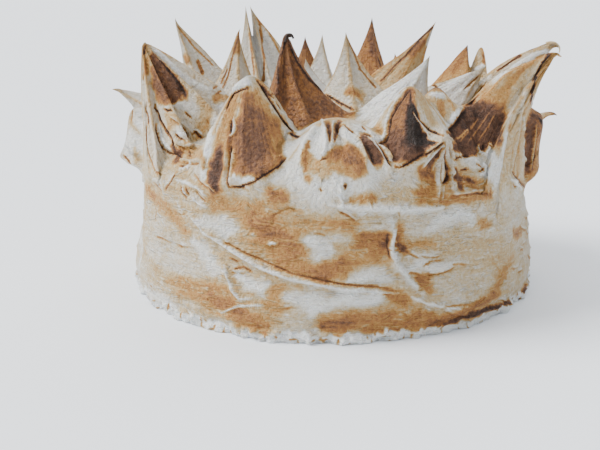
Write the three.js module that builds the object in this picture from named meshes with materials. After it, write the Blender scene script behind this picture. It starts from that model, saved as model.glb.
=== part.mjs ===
import * as THREE from 'three';

// Lemon meringue cake, in mm: +Z up, +X to the cake's right, the side that is looked at toward -Y.
// A flat disc is laid over the cake like a cloth. Every peak draws a part of it up to a tip, every crease
// lifts or sinks a line of it, and the closed surface under it is the solid.

const TURN = 2 * Math.PI;
const rad = (degrees) => degrees * Math.PI / 180;
const clamp = (value) => Math.min(1, Math.max(0, value));
const ease = (value) => clamp(value) ** 2 * (3 - 2 * clamp(value));

// The bare cake: a low dome over a wall that swells toward its foot
const CROWN_RISE = 30;
const CROWN_POWER = 3;
const WALL_TOP = { radius: 100, height: 56 };
const WALL = [{ radius: 102, height: 38 }, { radius: 103.6, height: 22 }, { radius: 104.8, height: 9 }];
const FOOT = { radius: 103.2, height: 0 };
const CROWN_STEPS = 300;

const OUTLINE = outline();
const CROWN_EDGE = OUTLINE[CROWN_STEPS].down;
const DISC_EDGE = OUTLINE[OUTLINE.length - 1].down;

// The outline from the middle of the top down to the foot, with the length walked so far
function outline() {
  const places = [];
  for (let k = 0; k <= CROWN_STEPS; k += 1) {
    const turn = k / CROWN_STEPS * Math.PI / 2;
    places.push({
      radius: WALL_TOP.radius * Math.sin(turn) ** (2 / CROWN_POWER),
      height: WALL_TOP.height + CROWN_RISE * Math.cos(turn) ** (2 / CROWN_POWER),
    });
  }
  places.push(...WALL.map((place) => ({ ...place })), { ...FOOT });
  let down = 0;
  places.forEach((place, k) => {
    if (k) down += Math.hypot(place.radius - places[k - 1].radius, place.height - places[k - 1].height);
    place.down = down;
  });
  return places;
}

// Value of one measure of the outline where another one has a given value
function along(key, value, wanted, places = OUTLINE) {
  let low = 0;
  let high = places.length - 1;
  while (high - low > 1) {
    const middle = (low + high) >> 1;
    if (places[middle][key] <= value) low = middle; else high = middle;
  }
  const span = places[high][key] - places[low][key];
  const share = span ? clamp((value - places[low][key]) / span) : 0;
  return places[low][wanted] + share * (places[high][wanted] - places[low][wanted]);
}

// Slow waves of the spread coat and the crumbled rim at the foot, as a change of radius
function unevenness(bearing, height) {
  const waves = 0.8 * Math.sin(3 * bearing + 0.02 * height + 1.0)
    + 0.5 * Math.sin(7 * bearing - 0.05 * height + 2.1)
    + 0.35 * Math.sin(13 * bearing + 0.11 * height + 0.4);
  const lean = 0.8 * (1 - Math.cos(bearing)) * ease((45 - height) / 35) - 1.1 * (1 + Math.cos(bearing));
  const crumbs = 0.5 * Math.sin(17 * bearing + 1.3) + 0.45 * Math.sin(29 * bearing + 0.2);
  return (waves + lean) * ease((80 - height) / 20) + crumbs * clamp((5 - height) / 4);
}

// Point of the bare cake over a point of the disc
function surface(x, y) {
  const down = Math.hypot(x, y);
  const height = along('down', down, 'height');
  const radius = along('down', down, 'radius') + unevenness(Math.atan2(y, x), height) * clamp(down / 60);
  const share = radius / Math.max(down, 1e-9);
  return [x * share, y * share, height];
}

const onDisc = (bearing, down) => [down * Math.cos(rad(bearing)), down * Math.sin(rad(bearing))];

// Point of the disc over a place of the crown seen from above
function overCrown(x, y) {
  const radius = Math.hypot(x, y);
  const crown = OUTLINE.slice(0, CROWN_STEPS + 1);
  const share = along('radius', radius, 'down', crown) / Math.max(radius, 1e-9);
  return [x * share, y * share];
}

const PATH_STEPS = 80;
const STRIDE = 3;

// Peaks: foot seen from above, tip in space, how far the skirt reaches, and its ridges as
// [bearing, reach, width in degrees]. flare and point shape the flank, blunt rounds the top, bend leans the
// path over, curl hooks its end, flat thins the peak into a blade that lies along flatAlong.
const PEAK_DEFAULTS = {
  flare: 1.6, point: 0.85, blunt: 0, bend: 1.3, curl: 0, curlFrom: 0.88, flat: 1, flatAlong: 0,
};
const PEAKS = [
  { name: 'far left hook', foot: [-92, 8], tip: [-120, 6, 99], reach: 20, bend: 1.5, curl: 30,
    ridges: [[180, 28, 20], [60, 30, 25], [-60, 30, 20]] },
  { name: 'left lobe', foot: [-95, -8], tip: [-106, -10, 88], reach: 18, flare: 1, point: 1, blunt: 0.4,
    bend: 1, ridges: [[90, 22, 25], [-90, 22, 25]] },
  { name: 'left lump', foot: [-99.4, -10.5], tip: [-114, -11, 65], reach: 17, flare: 1, point: 1,
    blunt: 0.3, bend: 1, ridges: [[180, 26, 25], [120, 20, 25]] },
  { name: 'left sail', foot: [-86, -34], tip: [-92, -32, 125], reach: 16, flare: 1.1, point: 1, bend: 1,
    curl: -60, curlFrom: 0.93, ridges: [[28, 56, 22], [-10, 40, 12], [-50, 32, 12], [-95, 30, 12],
      [-140, 25, 16], [110, 28, 25]] },
  { name: 'back left', foot: [-76, 44], tip: [-90, 42, 134], reach: 20, bend: 1.6, curl: -20,
    ridges: [[-5, 46, 18], [-80, 30, 16], [130, 30, 20]] },
  { name: 'mid left', foot: [-53, 0], tip: [-49, 0, 130], reach: 18, flare: 1.9, curl: 30,
    ridges: [[195, 31, 16], [-70, 30, 16], [15, 30, 20], [100, 26, 20]] },
  { name: 'twin left', foot: [-46, 40], tip: [-50.5, 40, 147], reach: 18,
    ridges: [[-75, 36, 12], [170, 26, 16], [110, 30, 20]] },
  { name: 'twin right', foot: [-39, 42], tip: [-49, 42, 145], reach: 21, bend: 1.5,
    ridges: [[-75, 38, 12], [-10, 42, 18], [90, 28, 20]] },
  { name: 'hook', foot: [-25, -42], tip: [-21, -44, 128], reach: 16, point: 0.75, blunt: 0.03, bend: 1.6,
    curl: 150, ridges: [[1, 54, 22], [178, 17, 14], [-50, 38, 20], [-105, 32, 20], [90, 32, 35]] },
  { name: 'front left', foot: [-38, -72], tip: [-38, -75, 113], reach: 28, flare: 1.25, point: 1,
    blunt: 0.25, ridges: [[205, 38, 16], [-10, 37, 14], [-100, 38, 10], [80, 26, 25]] },
  { name: 'inner small left', foot: [-14, 34], tip: [-17, 38, 112], reach: 18,
    ridges: [[0, 26, 20], [120, 22, 20], [240, 26, 20]] },
  { name: 'inner small back', foot: [-8, 62], tip: [-8, 62, 124], reach: 17,
    ridges: [[-60, 26, 20], [90, 22, 20], [200, 26, 20]] },
  { name: 'centre', foot: [7, 4], tip: [5, 6, 128], reach: 24, flare: 2,
    ridges: [[-10, 46, 16], [185, 32, 18], [-80, 32, 14], [90, 26, 25]] },
  { name: 'back middle', foot: [20, 72], tip: [21, 72, 134], reach: 21,
    ridges: [[-70, 30, 20], [180, 32, 20], [0, 32, 20], [90, 26, 20]] },
  { name: 'back blade', foot: [24, 32], tip: [55, 40, 132], reach: 19, bend: 1, flat: 0.6, flatAlong: 10,
    ridges: [[190, 26, 18], [10, 34, 12], [-80, 24, 20], [90, 26, 20]] },
  { name: 'white blade', foot: [28, -36], tip: [45, -32, 119], reach: 24, bend: 1, flat: 0.7, flatAlong: 5,
    ridges: [[195, 32, 16], [-5, 34, 12], [-95, 27, 14], [80, 28, 20]] },
  { name: 'front brown', foot: [36, -67], tip: [34.5, -68, 109.5], reach: 24, flare: 1.1, point: 1,
    blunt: 0.25, ridges: [[190, 26, 12], [-20, 28, 12], [-95, 38, 14]] },
  { name: 'shoulder of the front brown', foot: [47, -57], tip: [45.5, -58, 108.5], reach: 20, flare: 1.1,
    point: 1, blunt: 0.25, ridges: [[-35, 28, 12], [80, 26, 20]] },
  { name: 'right blade', foot: [50, -17], tip: [74, -19, 113], reach: 20, bend: 1.1, flat: 0.6,
    ridges: [[185, 34, 16], [-60, 28, 16], [0, 34, 12], [90, 26, 20]] },
  { name: 'back right', foot: [72, 56], tip: [76, 60, 121], reach: 20, point: 1,
    ridges: [[-90, 30, 20], [160, 38, 20], [20, 26, 20]] },
  { name: 'back right twin', foot: [81, 56], tip: [83, 60, 120], reach: 21, point: 1, blunt: 0.25,
    ridges: [[-70, 28, 20], [10, 28, 20]] },
  { name: 'right sail', foot: [80, -46], tip: [102, -50, 121], reach: 25, flare: 1.4, point: 0.95,
    bend: 1.8, curl: 60, curlFrom: 0.92, ridges: [[205, 52, 16], [180, 44, 18], [-95, 46, 8], [-70, 42, 7],
      [-45, 34, 8], [40, 28, 20], [120, 30, 20]] },
  { name: 'right arc', foot: [78, -15], tip: [106, -32, 123], reach: 22, flare: 1.3, point: 0.95, bend: 1.9,
    curl: 80, curlFrom: 0.9, ridges: [[172, 27, 18], [-60, 30, 18], [60, 32, 20]] },
  { name: 'right lobe', foot: [94, -8], tip: [105.5, -11, 86], reach: 20, flare: 1, point: 1, blunt: 0.4,
    ridges: [[-80, 26, 18], [10, 24, 25]] },
  { name: 'lower right lobe', foot: [99.4, -11], tip: [104, -13, 62], reach: 22, flare: 1, point: 1,
    blunt: 0.6, bend: 1, ridges: [[-10, 22, 25], [80, 22, 25]] },
  { name: 'far right hook', foot: [96, 14], tip: [115, 0, 86], reach: 17, bend: 1.4, curl: 60,
    curlFrom: 0.75, ridges: [[-90, 26, 20], [0, 22, 20]] },
  { name: 'front mound', foot: [-1, -80], tip: [-3, -80, 94], reach: 28, flare: 0.95, point: 1, blunt: 0.6,
    ridges: [[-105, 36, 12], [-60, 36, 12], [-150, 36, 12], [180, 30, 20]] },
  { name: 'rear left', foot: [-40, 80], tip: [-41, 86, 121], reach: 20,
    ridges: [[-40, 34, 20], [90, 34, 20], [200, 30, 20]] },
  { name: 'rear far left', foot: [-72, 64], tip: [-80, 72, 112], reach: 20,
    ridges: [[-20, 32, 20], [90, 32, 20], [220, 30, 20]] },
  { name: 'rear middle', foot: [-18, 88], tip: [-19, 92, 121], reach: 19,
    ridges: [[0, 34, 20], [90, 34, 20], [180, 34, 20]] },
  { name: 'rear right', foot: [40, 80], tip: [36, 90, 111], reach: 20,
    ridges: [[0, 34, 20], [70, 34, 20], [200, 34, 20]] },
  { name: 'far rear right', foot: [90, 36], tip: [104, 42, 106], reach: 19,
    ridges: [[90, 30, 20], [200, 30, 20]] },
].map(makePeak);

// Completes a peak with the path its middle takes from the bare cake to the tip
function makePeak(values) {
  const peak = { ...PEAK_DEFAULTS, ...values };
  peak.centre = overCrown(...peak.foot);
  peak.base = surface(...peak.centre);
  const run = peak.tip.map((value, k) => value - peak.base[k]);
  const sideways = Math.hypot(run[0], run[1]);
  peak.toward = sideways > 0.01 ? [run[0] / sideways, run[1] / sideways] : [1, 0];
  peak.longest = Math.max(peak.reach, ...peak.ridges.map((ridge) => ridge[1]));
  peak.path = walkPath(peak, sideways, run[2]);
  return peak;
}

// Steps along a peak's path: share of the rise, way out, way up and the angle its section is turned by
function walkPath(peak, sideways, tall) {
  const angles = [];
  for (let k = 0; k <= PATH_STEPS; k += 1) {
    const share = k / PATH_STEPS;
    const lean = Math.atan(peak.bend * sideways * share ** (peak.bend - 1) / tall);
    angles.push(lean + rad(peak.curl) * clamp((share - peak.curlFrom) / (1 - peak.curlFrom)) ** 1.3);
  }
  const path = [{ share: 0, out: 0, up: 0, angle: 0 }];
  for (let k = 1; k <= PATH_STEPS; k += 1) {
    const middle = (angles[k] + angles[k - 1]) / 2;
    const last = path[k - 1];
    const angle = angles[k] * ease(k / PATH_STEPS / 0.4);
    const [out, up] = [last.out + Math.sin(middle), last.up + Math.cos(middle)];
    path.push({ share: k / PATH_STEPS, out, up, angle });
  }
  const end = path[PATH_STEPS];
  const length = Math.hypot(sideways, tall) / Math.hypot(end.out, end.up);
  const missing = { out: sideways - end.out * length, up: tall - end.up * length };
  return path.map((step) => ({
    ...step,
    out: step.out * length + missing.out * step.share,
    up: step.up * length + missing.up * step.share,
  }));
}

// How far a peak's skirt reaches at a bearing: its ridges stand out with sharp crests
function reachAt(peak, bearing) {
  return Math.max(peak.reach, ...peak.ridges.map(([at, reach, width]) => {
    const off = Math.abs((bearing - rad(at) + 5 * Math.PI) % TURN - Math.PI) / rad(width);
    return peak.reach + (reach - peak.reach) * Math.exp(0.12 - Math.hypot(off, 0.12));
  }));
}

// How a peak moves one point of the bare cake, with the point's share of the peak's rise
function pull(peak, x, y, base) {
  const dx = x - peak.centre[0];
  const dy = y - peak.centre[1];
  const distance = Math.hypot(dx, dy);
  if (distance >= peak.longest) return null;
  const share = distance / reachAt(peak, Math.atan2(dy, dx));
  if (share >= 1) return null;
  const { blunt, toward } = peak;
  const soft = (Math.hypot(share, blunt) - blunt) / (Math.hypot(1, blunt) - blunt);
  const rise = (1 - soft ** peak.point) ** peak.flare;
  const angle = along('share', rise, 'angle', peak.path);
  const out = along('share', rise, 'out', peak.path);
  const up = along('share', rise, 'up', peak.path);
  const arm = base.map((value, k) => value - peak.base[k]);
  const lie = rad(peak.flatAlong);
  const thin = (arm[1] * Math.cos(lie) - arm[0] * Math.sin(lie)) * (peak.flat - 1) * (1 - share) ** 1.5;
  arm[0] -= thin * Math.sin(lie);
  arm[1] += thin * Math.cos(lie);
  const ahead = arm[0] * toward[0] + arm[1] * toward[1];
  const side = arm[1] * toward[0] - arm[0] * toward[1];
  const turnedAhead = ahead * Math.cos(angle) + arm[2] * Math.sin(angle) + out;
  const turnedUp = arm[2] * Math.cos(angle) - ahead * Math.sin(angle) + up;
  const moved = [
    peak.base[0] + turnedAhead * toward[0] - side * toward[1] - base[0],
    peak.base[1] + turnedAhead * toward[1] + side * toward[0] - base[1],
    peak.base[2] + turnedUp - base[2],
  ];
  return { moved, rise };
}

// The bare cake with all its peaks drawn up: where skirts meet, the one that has risen more leads
function drawnUp(x, y) {
  const base = surface(x, y);
  const total = [0, 0, 0];
  let weight = 0;
  for (const peak of PEAKS) {
    const drawn = pull(peak, x, y, base);
    if (!drawn) continue;
    const part = drawn.rise ** 2;
    weight += part;
    drawn.moved.forEach((value, k) => { total[k] += value * part; });
  }
  return weight > 0 ? base.map((value, k) => value + total[k] / weight) : base;
}

// Creases: lines of [bearing, way down the outline], with how high and how wide the coat stands along them.
// The second width is that of the crease's other side, where it is steeper.
const CREASES = [
  { name: 'long lap round the wall', high: 1.8, widths: [5, 2.2],
    line: [[-129, 120], [-117, 132], [-108, 138], [-93, 143], [-81, 145], [-74, 147]] },
  { name: 'upright seam', high: 2.2, widths: [3, 3],
    line: [[-76, 114], [-76, 129], [-75, 135], [-71, 144]] },
  { name: 'branch of the seam', high: 1.2, widths: [3, 3], line: [[-74, 145], [-71, 150], [-63, 157]] },
  { name: 'left seam', high: 1.4, widths: [3, 3], line: [[-119, 138], [-117, 146], [-113, 154]] },
  { name: 'oval blob', high: 1.6, widths: [3.6, 3.6], line: [[-67, 138], [-60, 139]] },
  { name: 'band under the crown', high: 1.4, widths: [5, 6],
    line: [[-87, 112], [-70, 112], [-56, 113]] },
  { name: 'scorched lip', high: 1.6, widths: [3, 4],
    line: [[-63, 161], [-52, 160], [-37, 160], [-22, 160]] },
  { name: 'lower lip of the front left peak', high: 3, widths: [3, 5],
    line: [[-126, 109], [-119, 107], [-112, 106], [-107, 97], [-103, 87]] },
  { name: 'fold of the front left peak', high: 1.8, widths: [2.4, 3], line: [[-119, 97], [-119, 107]] },
  { name: 'lower lip of the front brown peak', high: 3, widths: [3, 5],
    line: [[-76, 90], [-75, 96], [-72, 97], [-66, 96], [-58, 91]] },
  { name: 'long ribbon', high: 2.6, widths: [3, 3], line: [[-58, 90], [-62, 101], [-64, 112]] },
  { name: 'left ribbon', high: 2, widths: [2.6, 2.6], line: [[-58, 90], [-65, 96], [-68, 100]] },
  { name: 'right ribbon', high: 2.2, widths: [2.6, 2.6], line: [[-57, 90], [-56, 96], [-58, 107]] },
  { name: 'fold beside the ribbons', high: 2.2, widths: [3, 5],
    line: [[-58, 107], [-53, 108], [-46, 112]] },
  { name: 'left lobe of the mound', high: 2.6, widths: [4, 3], line: [[-99, 98], [-98, 91], [-94, 83]] },
  { name: 'cleft of the mound', high: -3, widths: [3, 3], line: [[-88, 83], [-88, 96]] },
  { name: 'right lobe of the mound', high: 2.4, widths: [3, 4], line: [[-81, 89], [-78, 95], [-76, 98]] },
  { name: 'outer fold of the left sail', high: 2.2, widths: [3, 3],
    line: [[-155, 104], [-151, 109], [-145, 110]] },
  { name: 'inner fold of the left sail', high: 2, widths: [3, 3],
    line: [[-152, 96], [-146, 93], [-141, 92]] },
].map(makeCrease);

// Completes a crease with places along its line, in space and on the disc
function makeCrease(values) {
  const places = [];
  values.line.slice(1).forEach(([bearing, down], k) => {
    const [startBearing, startDown] = values.line[k];
    const from = surface(...onDisc(startBearing, startDown));
    const to = surface(...onDisc(bearing, down));
    const count = Math.max(1, Math.round(Math.hypot(...to.map((value, n) => value - from[n])) / STRIDE));
    for (let n = k ? 1 : 0; n <= count; n += 1) {
      const share = n / count;
      const disc = onDisc(
        startBearing + share * (bearing - startBearing),
        startDown + share * (down - startDown),
      );
      places.push({ disc, space: surface(...disc) });
    }
  });
  return { ...values, places, radius: Math.max(...values.widths) };
}

const dot = (a, b) => a[0] * b[0] + a[1] * b[1] + a[2] * b[2];

// How high a crease lifts the coat at a point, tapering to nothing toward both its ends
function lift(crease, base) {
  let best = { gap: crease.radius, side: 0, share: 0 };
  const { places } = crease;
  for (let k = 1; k < places.length; k += 1) {
    const from = places[k - 1].space;
    const to = places[k].space;
    const step = to.map((value, n) => value - from[n]);
    const arm = base.map((value, n) => value - from[n]);
    const t = clamp(dot(arm, step) / dot(step, step));
    const gap = Math.hypot(...arm.map((value, n) => value - t * step[n]));
    if (gap >= best.gap) continue;
    best = { gap, side: sideOf(from, step, arm), share: (k - 1 + t) / (places.length - 1) };
  }
  const width = crease.widths[best.side];
  if (best.gap >= width) return 0;
  const ends = clamp(Math.min(best.share, 1 - best.share) * 5 + 0.35);
  return crease.high * ends * (1 - best.gap / width) ** 1.4;
}

const OUTWARD_RISE = 40;

// Which side of a crease's line an arm points to, seen from outside the cake
function sideOf(from, step, arm) {
  const cross = [
    step[1] * arm[2] - step[2] * arm[1],
    step[2] * arm[0] - step[0] * arm[2],
    step[0] * arm[1] - step[1] * arm[0],
  ];
  return dot(cross, [from[0], from[1], OUTWARD_RISE]) > 0 ? 0 : 1;
}

const CREASE_SPAN = 140;
const NORMAL_STEP = 0.2;
const LOWEST_COAT = 0.6;

// The finished coat over one point of the disc
function coat([x, y]) {
  const base = surface(x, y);
  const place = drawnUp(x, y);
  let high = 0;
  for (const crease of CREASES) {
    const reach = Math.hypot(...base.map((value, k) => value - crease.places[0].space[k]));
    if (reach < CREASE_SPAN) high += lift(crease, base);
  }
  if (!high) return place;
  const ahead = drawnUp(x + NORMAL_STEP, y).map((value, k) => value - place[k]);
  const beside = drawnUp(x, y + NORMAL_STEP).map((value, k) => value - place[k]);
  const normal = new THREE.Vector3(...ahead).cross(new THREE.Vector3(...beside)).normalize();
  const up = Math.max(place[2] + normal.z * high, LOWEST_COAT);
  return [place[0] + normal.x * high, place[1] + normal.y * high, up];
}

// Points of the disc, dense where the coat is sharp: tips, ridges, creases, flanks, then all the rest
const AROUND = 128;
const LEVELS = [0.97, 0.9, 0.81, 0.71, 0.61, 0.51, 0.41, 0.31, 0.22, 0.14, 0.08, 0.03];
const FACE_RAYS = 16;
const REST_SPACING = 6.5;
const WALL_ROWS = 8;
const CELL = 10;
const FOOT_CLEARANCE = 2.5;

// Distance from a peak's centre, as a share of its reach, where the coat has risen by a share
function shareAt(peak, rise) {
  const soft = (1 - rise ** (1 / peak.flare)) ** (1 / peak.point);
  const { blunt } = peak;
  return Math.sqrt((soft * (Math.hypot(1, blunt) - blunt) + blunt) ** 2 - blunt ** 2);
}

// Points outward from a peak's centre. Along a ridge they guard the crest from other points close by.
function rayPoints(peak, bearing, crest) {
  const distances = LEVELS.map((rise) => shareAt(peak, rise) * reachAt(peak, bearing));
  return distances.map((distance, k) => ({
    at: [peak.centre[0] + distance * Math.cos(bearing), peak.centre[1] + distance * Math.sin(bearing)],
    gap: crest ? 0.15 + 0.08 * distance : 0.3 + 0.2 * distance,
    guard: crest ? 0.6 * (distance - (distances[k - 1] ?? 0)) : 0,
  }));
}

function creasePoints(crease) {
  const rows = [];
  crease.places.forEach(({ disc }, k) => {
    const next = crease.places[Math.min(k + 1, crease.places.length - 1)].disc;
    const last = crease.places[Math.max(k - 1, 0)].disc;
    const way = Math.hypot(next[0] - last[0], next[1] - last[1]);
    const aside = [(last[1] - next[1]) / way, (next[0] - last[0]) / way];
    rows.push({ at: disc, gap: 1.2, guard: 0.6 * STRIDE });
    for (const shift of [crease.widths[0], -crease.widths[1]]) {
      rows.push({ at: [disc[0] + aside[0] * shift, disc[1] + aside[1] * shift], gap: 1.8 });
    }
  });
  return rows;
}

function ringPoints(down, count, gap, shift) {
  return Array.from({ length: count }, (_, k) => {
    const bearing = (k + shift) / count * 360 + 0.2 * Math.sin(5 * k);
    return { at: onDisc(bearing, down), gap };
  });
}

function wantedPoints() {
  const wanted = PEAKS.map((peak) => ({ at: peak.centre, gap: 0 }));
  for (const peak of PEAKS) {
    for (const [bearing] of peak.ridges) wanted.push(...rayPoints(peak, rad(bearing), true));
  }
  for (const crease of CREASES) wanted.push(...creasePoints(crease));
  for (const peak of PEAKS) {
    for (let k = 0; k < FACE_RAYS; k += 1) wanted.push(...rayPoints(peak, k / FACE_RAYS * TURN, false));
  }
  for (let down = REST_SPACING; down < CROWN_EDGE; down += REST_SPACING) {
    const count = Math.round(TURN * down / REST_SPACING);
    wanted.push(...ringPoints(down, count, REST_SPACING * 0.7, 0.3 * down));
  }
  for (let row = 0; row < WALL_ROWS; row += 1) {
    const down = CROWN_EDGE + (DISC_EDGE - CROWN_EDGE) * row / WALL_ROWS;
    wanted.push(...ringPoints(down, AROUND, 4, row % 2 / 2));
  }
  return wanted;
}

// Keeps every wanted point that is far enough from those kept before it, then adds the foot's ring
function seeds() {
  const kept = [];
  const cells = new Map();
  const cell = (x, y) => Math.floor(x / CELL) * 1000 + Math.floor(y / CELL);
  for (const { at, gap, guard = 0 } of wantedPoints()) {
    if (Math.hypot(...at) > DISC_EDGE - FOOT_CLEARANCE) continue;
    const near = [-CELL, 0, CELL].flatMap((dx) => [-CELL, 0, CELL].flatMap((dy) => (
      cells.get(cell(at[0] + dx, at[1] + dy)) ?? []
    )));
    const tooClose = (other) => {
      const room = Math.max(gap, guard ? 0 : other.guard);
      return Math.hypot(other.at[0] - at[0], other.at[1] - at[1]) < room;
    };
    if (near.some(tooClose)) continue;
    kept.push(at);
    const key = cell(...at);
    cells.set(key, [...(cells.get(key) ?? []), { at, guard }]);
  }
  for (let k = 0; k < AROUND; k += 1) kept.push(onDisc(k / AROUND * 360, DISC_EDGE));
  return kept;
}

// Triangles over scattered points, none of whose corner circles holds another point
function triangulate(points) {
  const far = 1e5;
  const all = [...points, [-far, -far], [far, -far], [0, far]];
  const n = points.length;
  let triangles = [roundTriangle(all, n, n + 1, n + 2)];
  points.forEach(([x, y], index) => {
    const rim = new Map();
    const kept = [];
    for (const triangle of triangles) {
      if ((x - triangle.x) ** 2 + (y - triangle.y) ** 2 >= triangle.squared) {
        kept.push(triangle);
        continue;
      }
      const [a, b, c] = triangle.corners;
      for (const [from, to] of [[a, b], [b, c], [c, a]]) {
        const back = `${to},${from}`;
        if (rim.has(back)) rim.delete(back); else rim.set(`${from},${to}`, [from, to]);
      }
    }
    triangles = kept;
    for (const [from, to] of rim.values()) triangles.push(roundTriangle(all, from, to, index));
  });
  return triangles
    .map((triangle) => triangle.corners)
    .filter((corners) => corners.every((corner) => corner < n));
}

function roundTriangle(points, ...corners) {
  const [[ax, ay], [bx, by], [cx, cy]] = corners.map((corner) => points[corner]);
  const twice = 2 * ((bx - ax) * (cy - ay) - (by - ay) * (cx - ax));
  const b = (bx - ax) ** 2 + (by - ay) ** 2;
  const c = (cx - ax) ** 2 + (cy - ay) ** 2;
  const dx = ((cy - ay) * b - (by - ay) * c) / twice;
  const dy = ((bx - ax) * c - (cx - ax) * b) / twice;
  return { corners, x: ax + dx, y: ay + dy, squared: dx ** 2 + dy ** 2 };
}

// The closed solid: the coat's triangles over a flat bottom that fans out from its middle
function cakeGeometry() {
  const points = seeds();
  const triangles = triangulate(points);
  const places = points.map(coat);
  const foot = points.length - AROUND;
  const middle = places.push([0, 0, 0]) - 1;
  for (let k = 0; k < AROUND; k += 1) triangles.push([middle, foot + (k + 1) % AROUND, foot + k]);
  const geometry = new THREE.BufferGeometry();
  geometry.setAttribute('position', new THREE.Float32BufferAttribute(places.flat(), 3));
  geometry.setIndex(triangles.flat());
  geometry.computeVertexNormals();
  return geometry;
}

const meringue = new THREE.MeshStandardMaterial({ color: '#e9dcc6', roughness: 0.7, metalness: 0 });
const cake = new THREE.Mesh(cakeGeometry(), meringue);
cake.name = 'meringue_cake';

const part = new THREE.Group();
part.name = 'lemon_meringue_cake';
part.add(cake);

export default part;
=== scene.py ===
import math
from itertools import product

import bpy
import numpy as np
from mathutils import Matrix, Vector, geometry
from mathutils.bvhtree import BVHTree
from mathutils.kdtree import KDTree


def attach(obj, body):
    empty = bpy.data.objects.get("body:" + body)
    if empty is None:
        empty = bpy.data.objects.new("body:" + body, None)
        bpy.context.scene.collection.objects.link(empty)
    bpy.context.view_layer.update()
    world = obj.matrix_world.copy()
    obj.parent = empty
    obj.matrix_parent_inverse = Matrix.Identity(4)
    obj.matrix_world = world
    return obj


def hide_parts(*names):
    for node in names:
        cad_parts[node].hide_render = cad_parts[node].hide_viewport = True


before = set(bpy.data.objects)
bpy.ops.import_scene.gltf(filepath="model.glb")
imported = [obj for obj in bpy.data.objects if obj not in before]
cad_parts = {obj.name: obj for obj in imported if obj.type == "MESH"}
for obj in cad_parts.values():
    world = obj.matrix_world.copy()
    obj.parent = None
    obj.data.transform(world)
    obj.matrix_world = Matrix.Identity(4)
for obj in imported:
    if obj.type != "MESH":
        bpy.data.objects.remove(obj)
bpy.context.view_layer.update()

# Lengths are in millimetres until the mesh is made, in the part's own frame: the side looked at is toward -Y.
MM = 0.001
TURN = 2 * math.pi

# The bare cake: a low dome over a wall that swells toward its foot
CROWN_RISE = 30.0
CROWN_POWER = 3.0
WALL_TOP_RADIUS, WALL_TOP_HEIGHT = 100.0, 56.0
WALL = ((102.0, 38.0), (103.6, 22.0), (104.8, 9.0), (103.2, 0.0))
CROWN_STEPS = 300
PATH_STEPS = 80
STRIDE = 3.0

# Fineness of the surface: longest edges in millimetres, on open stretches, along lines and near tips
OPEN_EDGE, LINE_EDGE, TIP_EDGE, FOOT_EDGE = 4.4, 1.4, 1.6, 1.3
FOOT_POINTS = 256
FOOT_BAND = 6.5

# How much higher the strokes' relief is made than they state
LIFT = 1.5

# Tones of the toasted meringue, from untouched to burnt; the darker ones also serve as painted shade in grooves
WHITE, CREAM, TAN, GOLDEN, BROWN, DARK, BURNT_AND_SHADE = 0.04, 0.25, 0.42, 0.56, 0.7, 0.84, 0.97

# The camera, at the photograph's viewing angle, in metres; the photograph is 600 x 450
CAMERA_PLACE = (0.0, -0.4725, 0.1524)
CAMERA_DOWN, CAMERA_TURN = 14.98, 2.24
PHOTO_SIZE = (600, 450)
PHOTO_FOCUS = 904.0
SENSOR = 36.0


def ease(value):
    value = np.clip(value, 0, 1)
    return value * value * (3 - 2 * value)


def outline():
    """The cake's outline from the middle of the top to the foot: length walked, radius and height."""
    turn = np.linspace(0, math.pi / 2, CROWN_STEPS + 1)
    power = 2 / CROWN_POWER
    radius = np.append(WALL_TOP_RADIUS * np.sin(turn) ** power, [r for r, _ in WALL])
    height = np.append(WALL_TOP_HEIGHT + CROWN_RISE * np.cos(turn).clip(0) ** power, [z for _, z in WALL])
    down = np.append(0, np.cumsum(np.hypot(np.diff(radius), np.diff(height))))
    return down, radius, height


DOWN, RADIUS, HEIGHT = outline()
CROWN_EDGE, DISC_EDGE = DOWN[CROWN_STEPS], DOWN[-1]


def unevenness(bearing, height):
    """Slow waves of the spread coat and the crumbled rim at the foot, as a change of radius."""
    waves = 0.8 * np.sin(3 * bearing + 0.02 * height + 1.0) + 0.5 * np.sin(7 * bearing - 0.05 * height + 2.1)
    waves += 0.35 * np.sin(13 * bearing + 0.11 * height + 0.4)
    waves += 0.8 * (1 - np.cos(bearing)) * ease((45 - height) / 35) - 1.1 * (1 + np.cos(bearing))
    crumbs = 0.5 * np.sin(17 * bearing + 1.3) + 0.45 * np.sin(29 * bearing + 0.2)
    return waves * ease((80 - height) / 20) + crumbs * np.clip((5 - height) / 4, 0, 1)


def surface(points):
    """The bare cake over points of the flat disc that is laid over it."""
    down = np.hypot(points[:, 0], points[:, 1])
    height = np.interp(down, DOWN, HEIGHT)
    wave = unevenness(np.arctan2(points[:, 1], points[:, 0]), height)
    radius = np.interp(down, DOWN, RADIUS) + wave * np.clip(down / 60, 0, 1)
    share = radius / np.maximum(down, 1e-9)
    return np.column_stack([points * share[:, None], height])


def on_disc(bearing, down):
    turn = np.radians(bearing)
    return np.column_stack([down * np.cos(turn), down * np.sin(turn)])


def over_crown(x, y):
    """Point of the disc over a place of the crown seen from above."""
    radius = math.hypot(x, y)
    down = np.interp(radius, RADIUS[: CROWN_STEPS + 1], DOWN[: CROWN_STEPS + 1])
    return np.array([x, y]) * down / max(radius, 1e-9)


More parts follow.
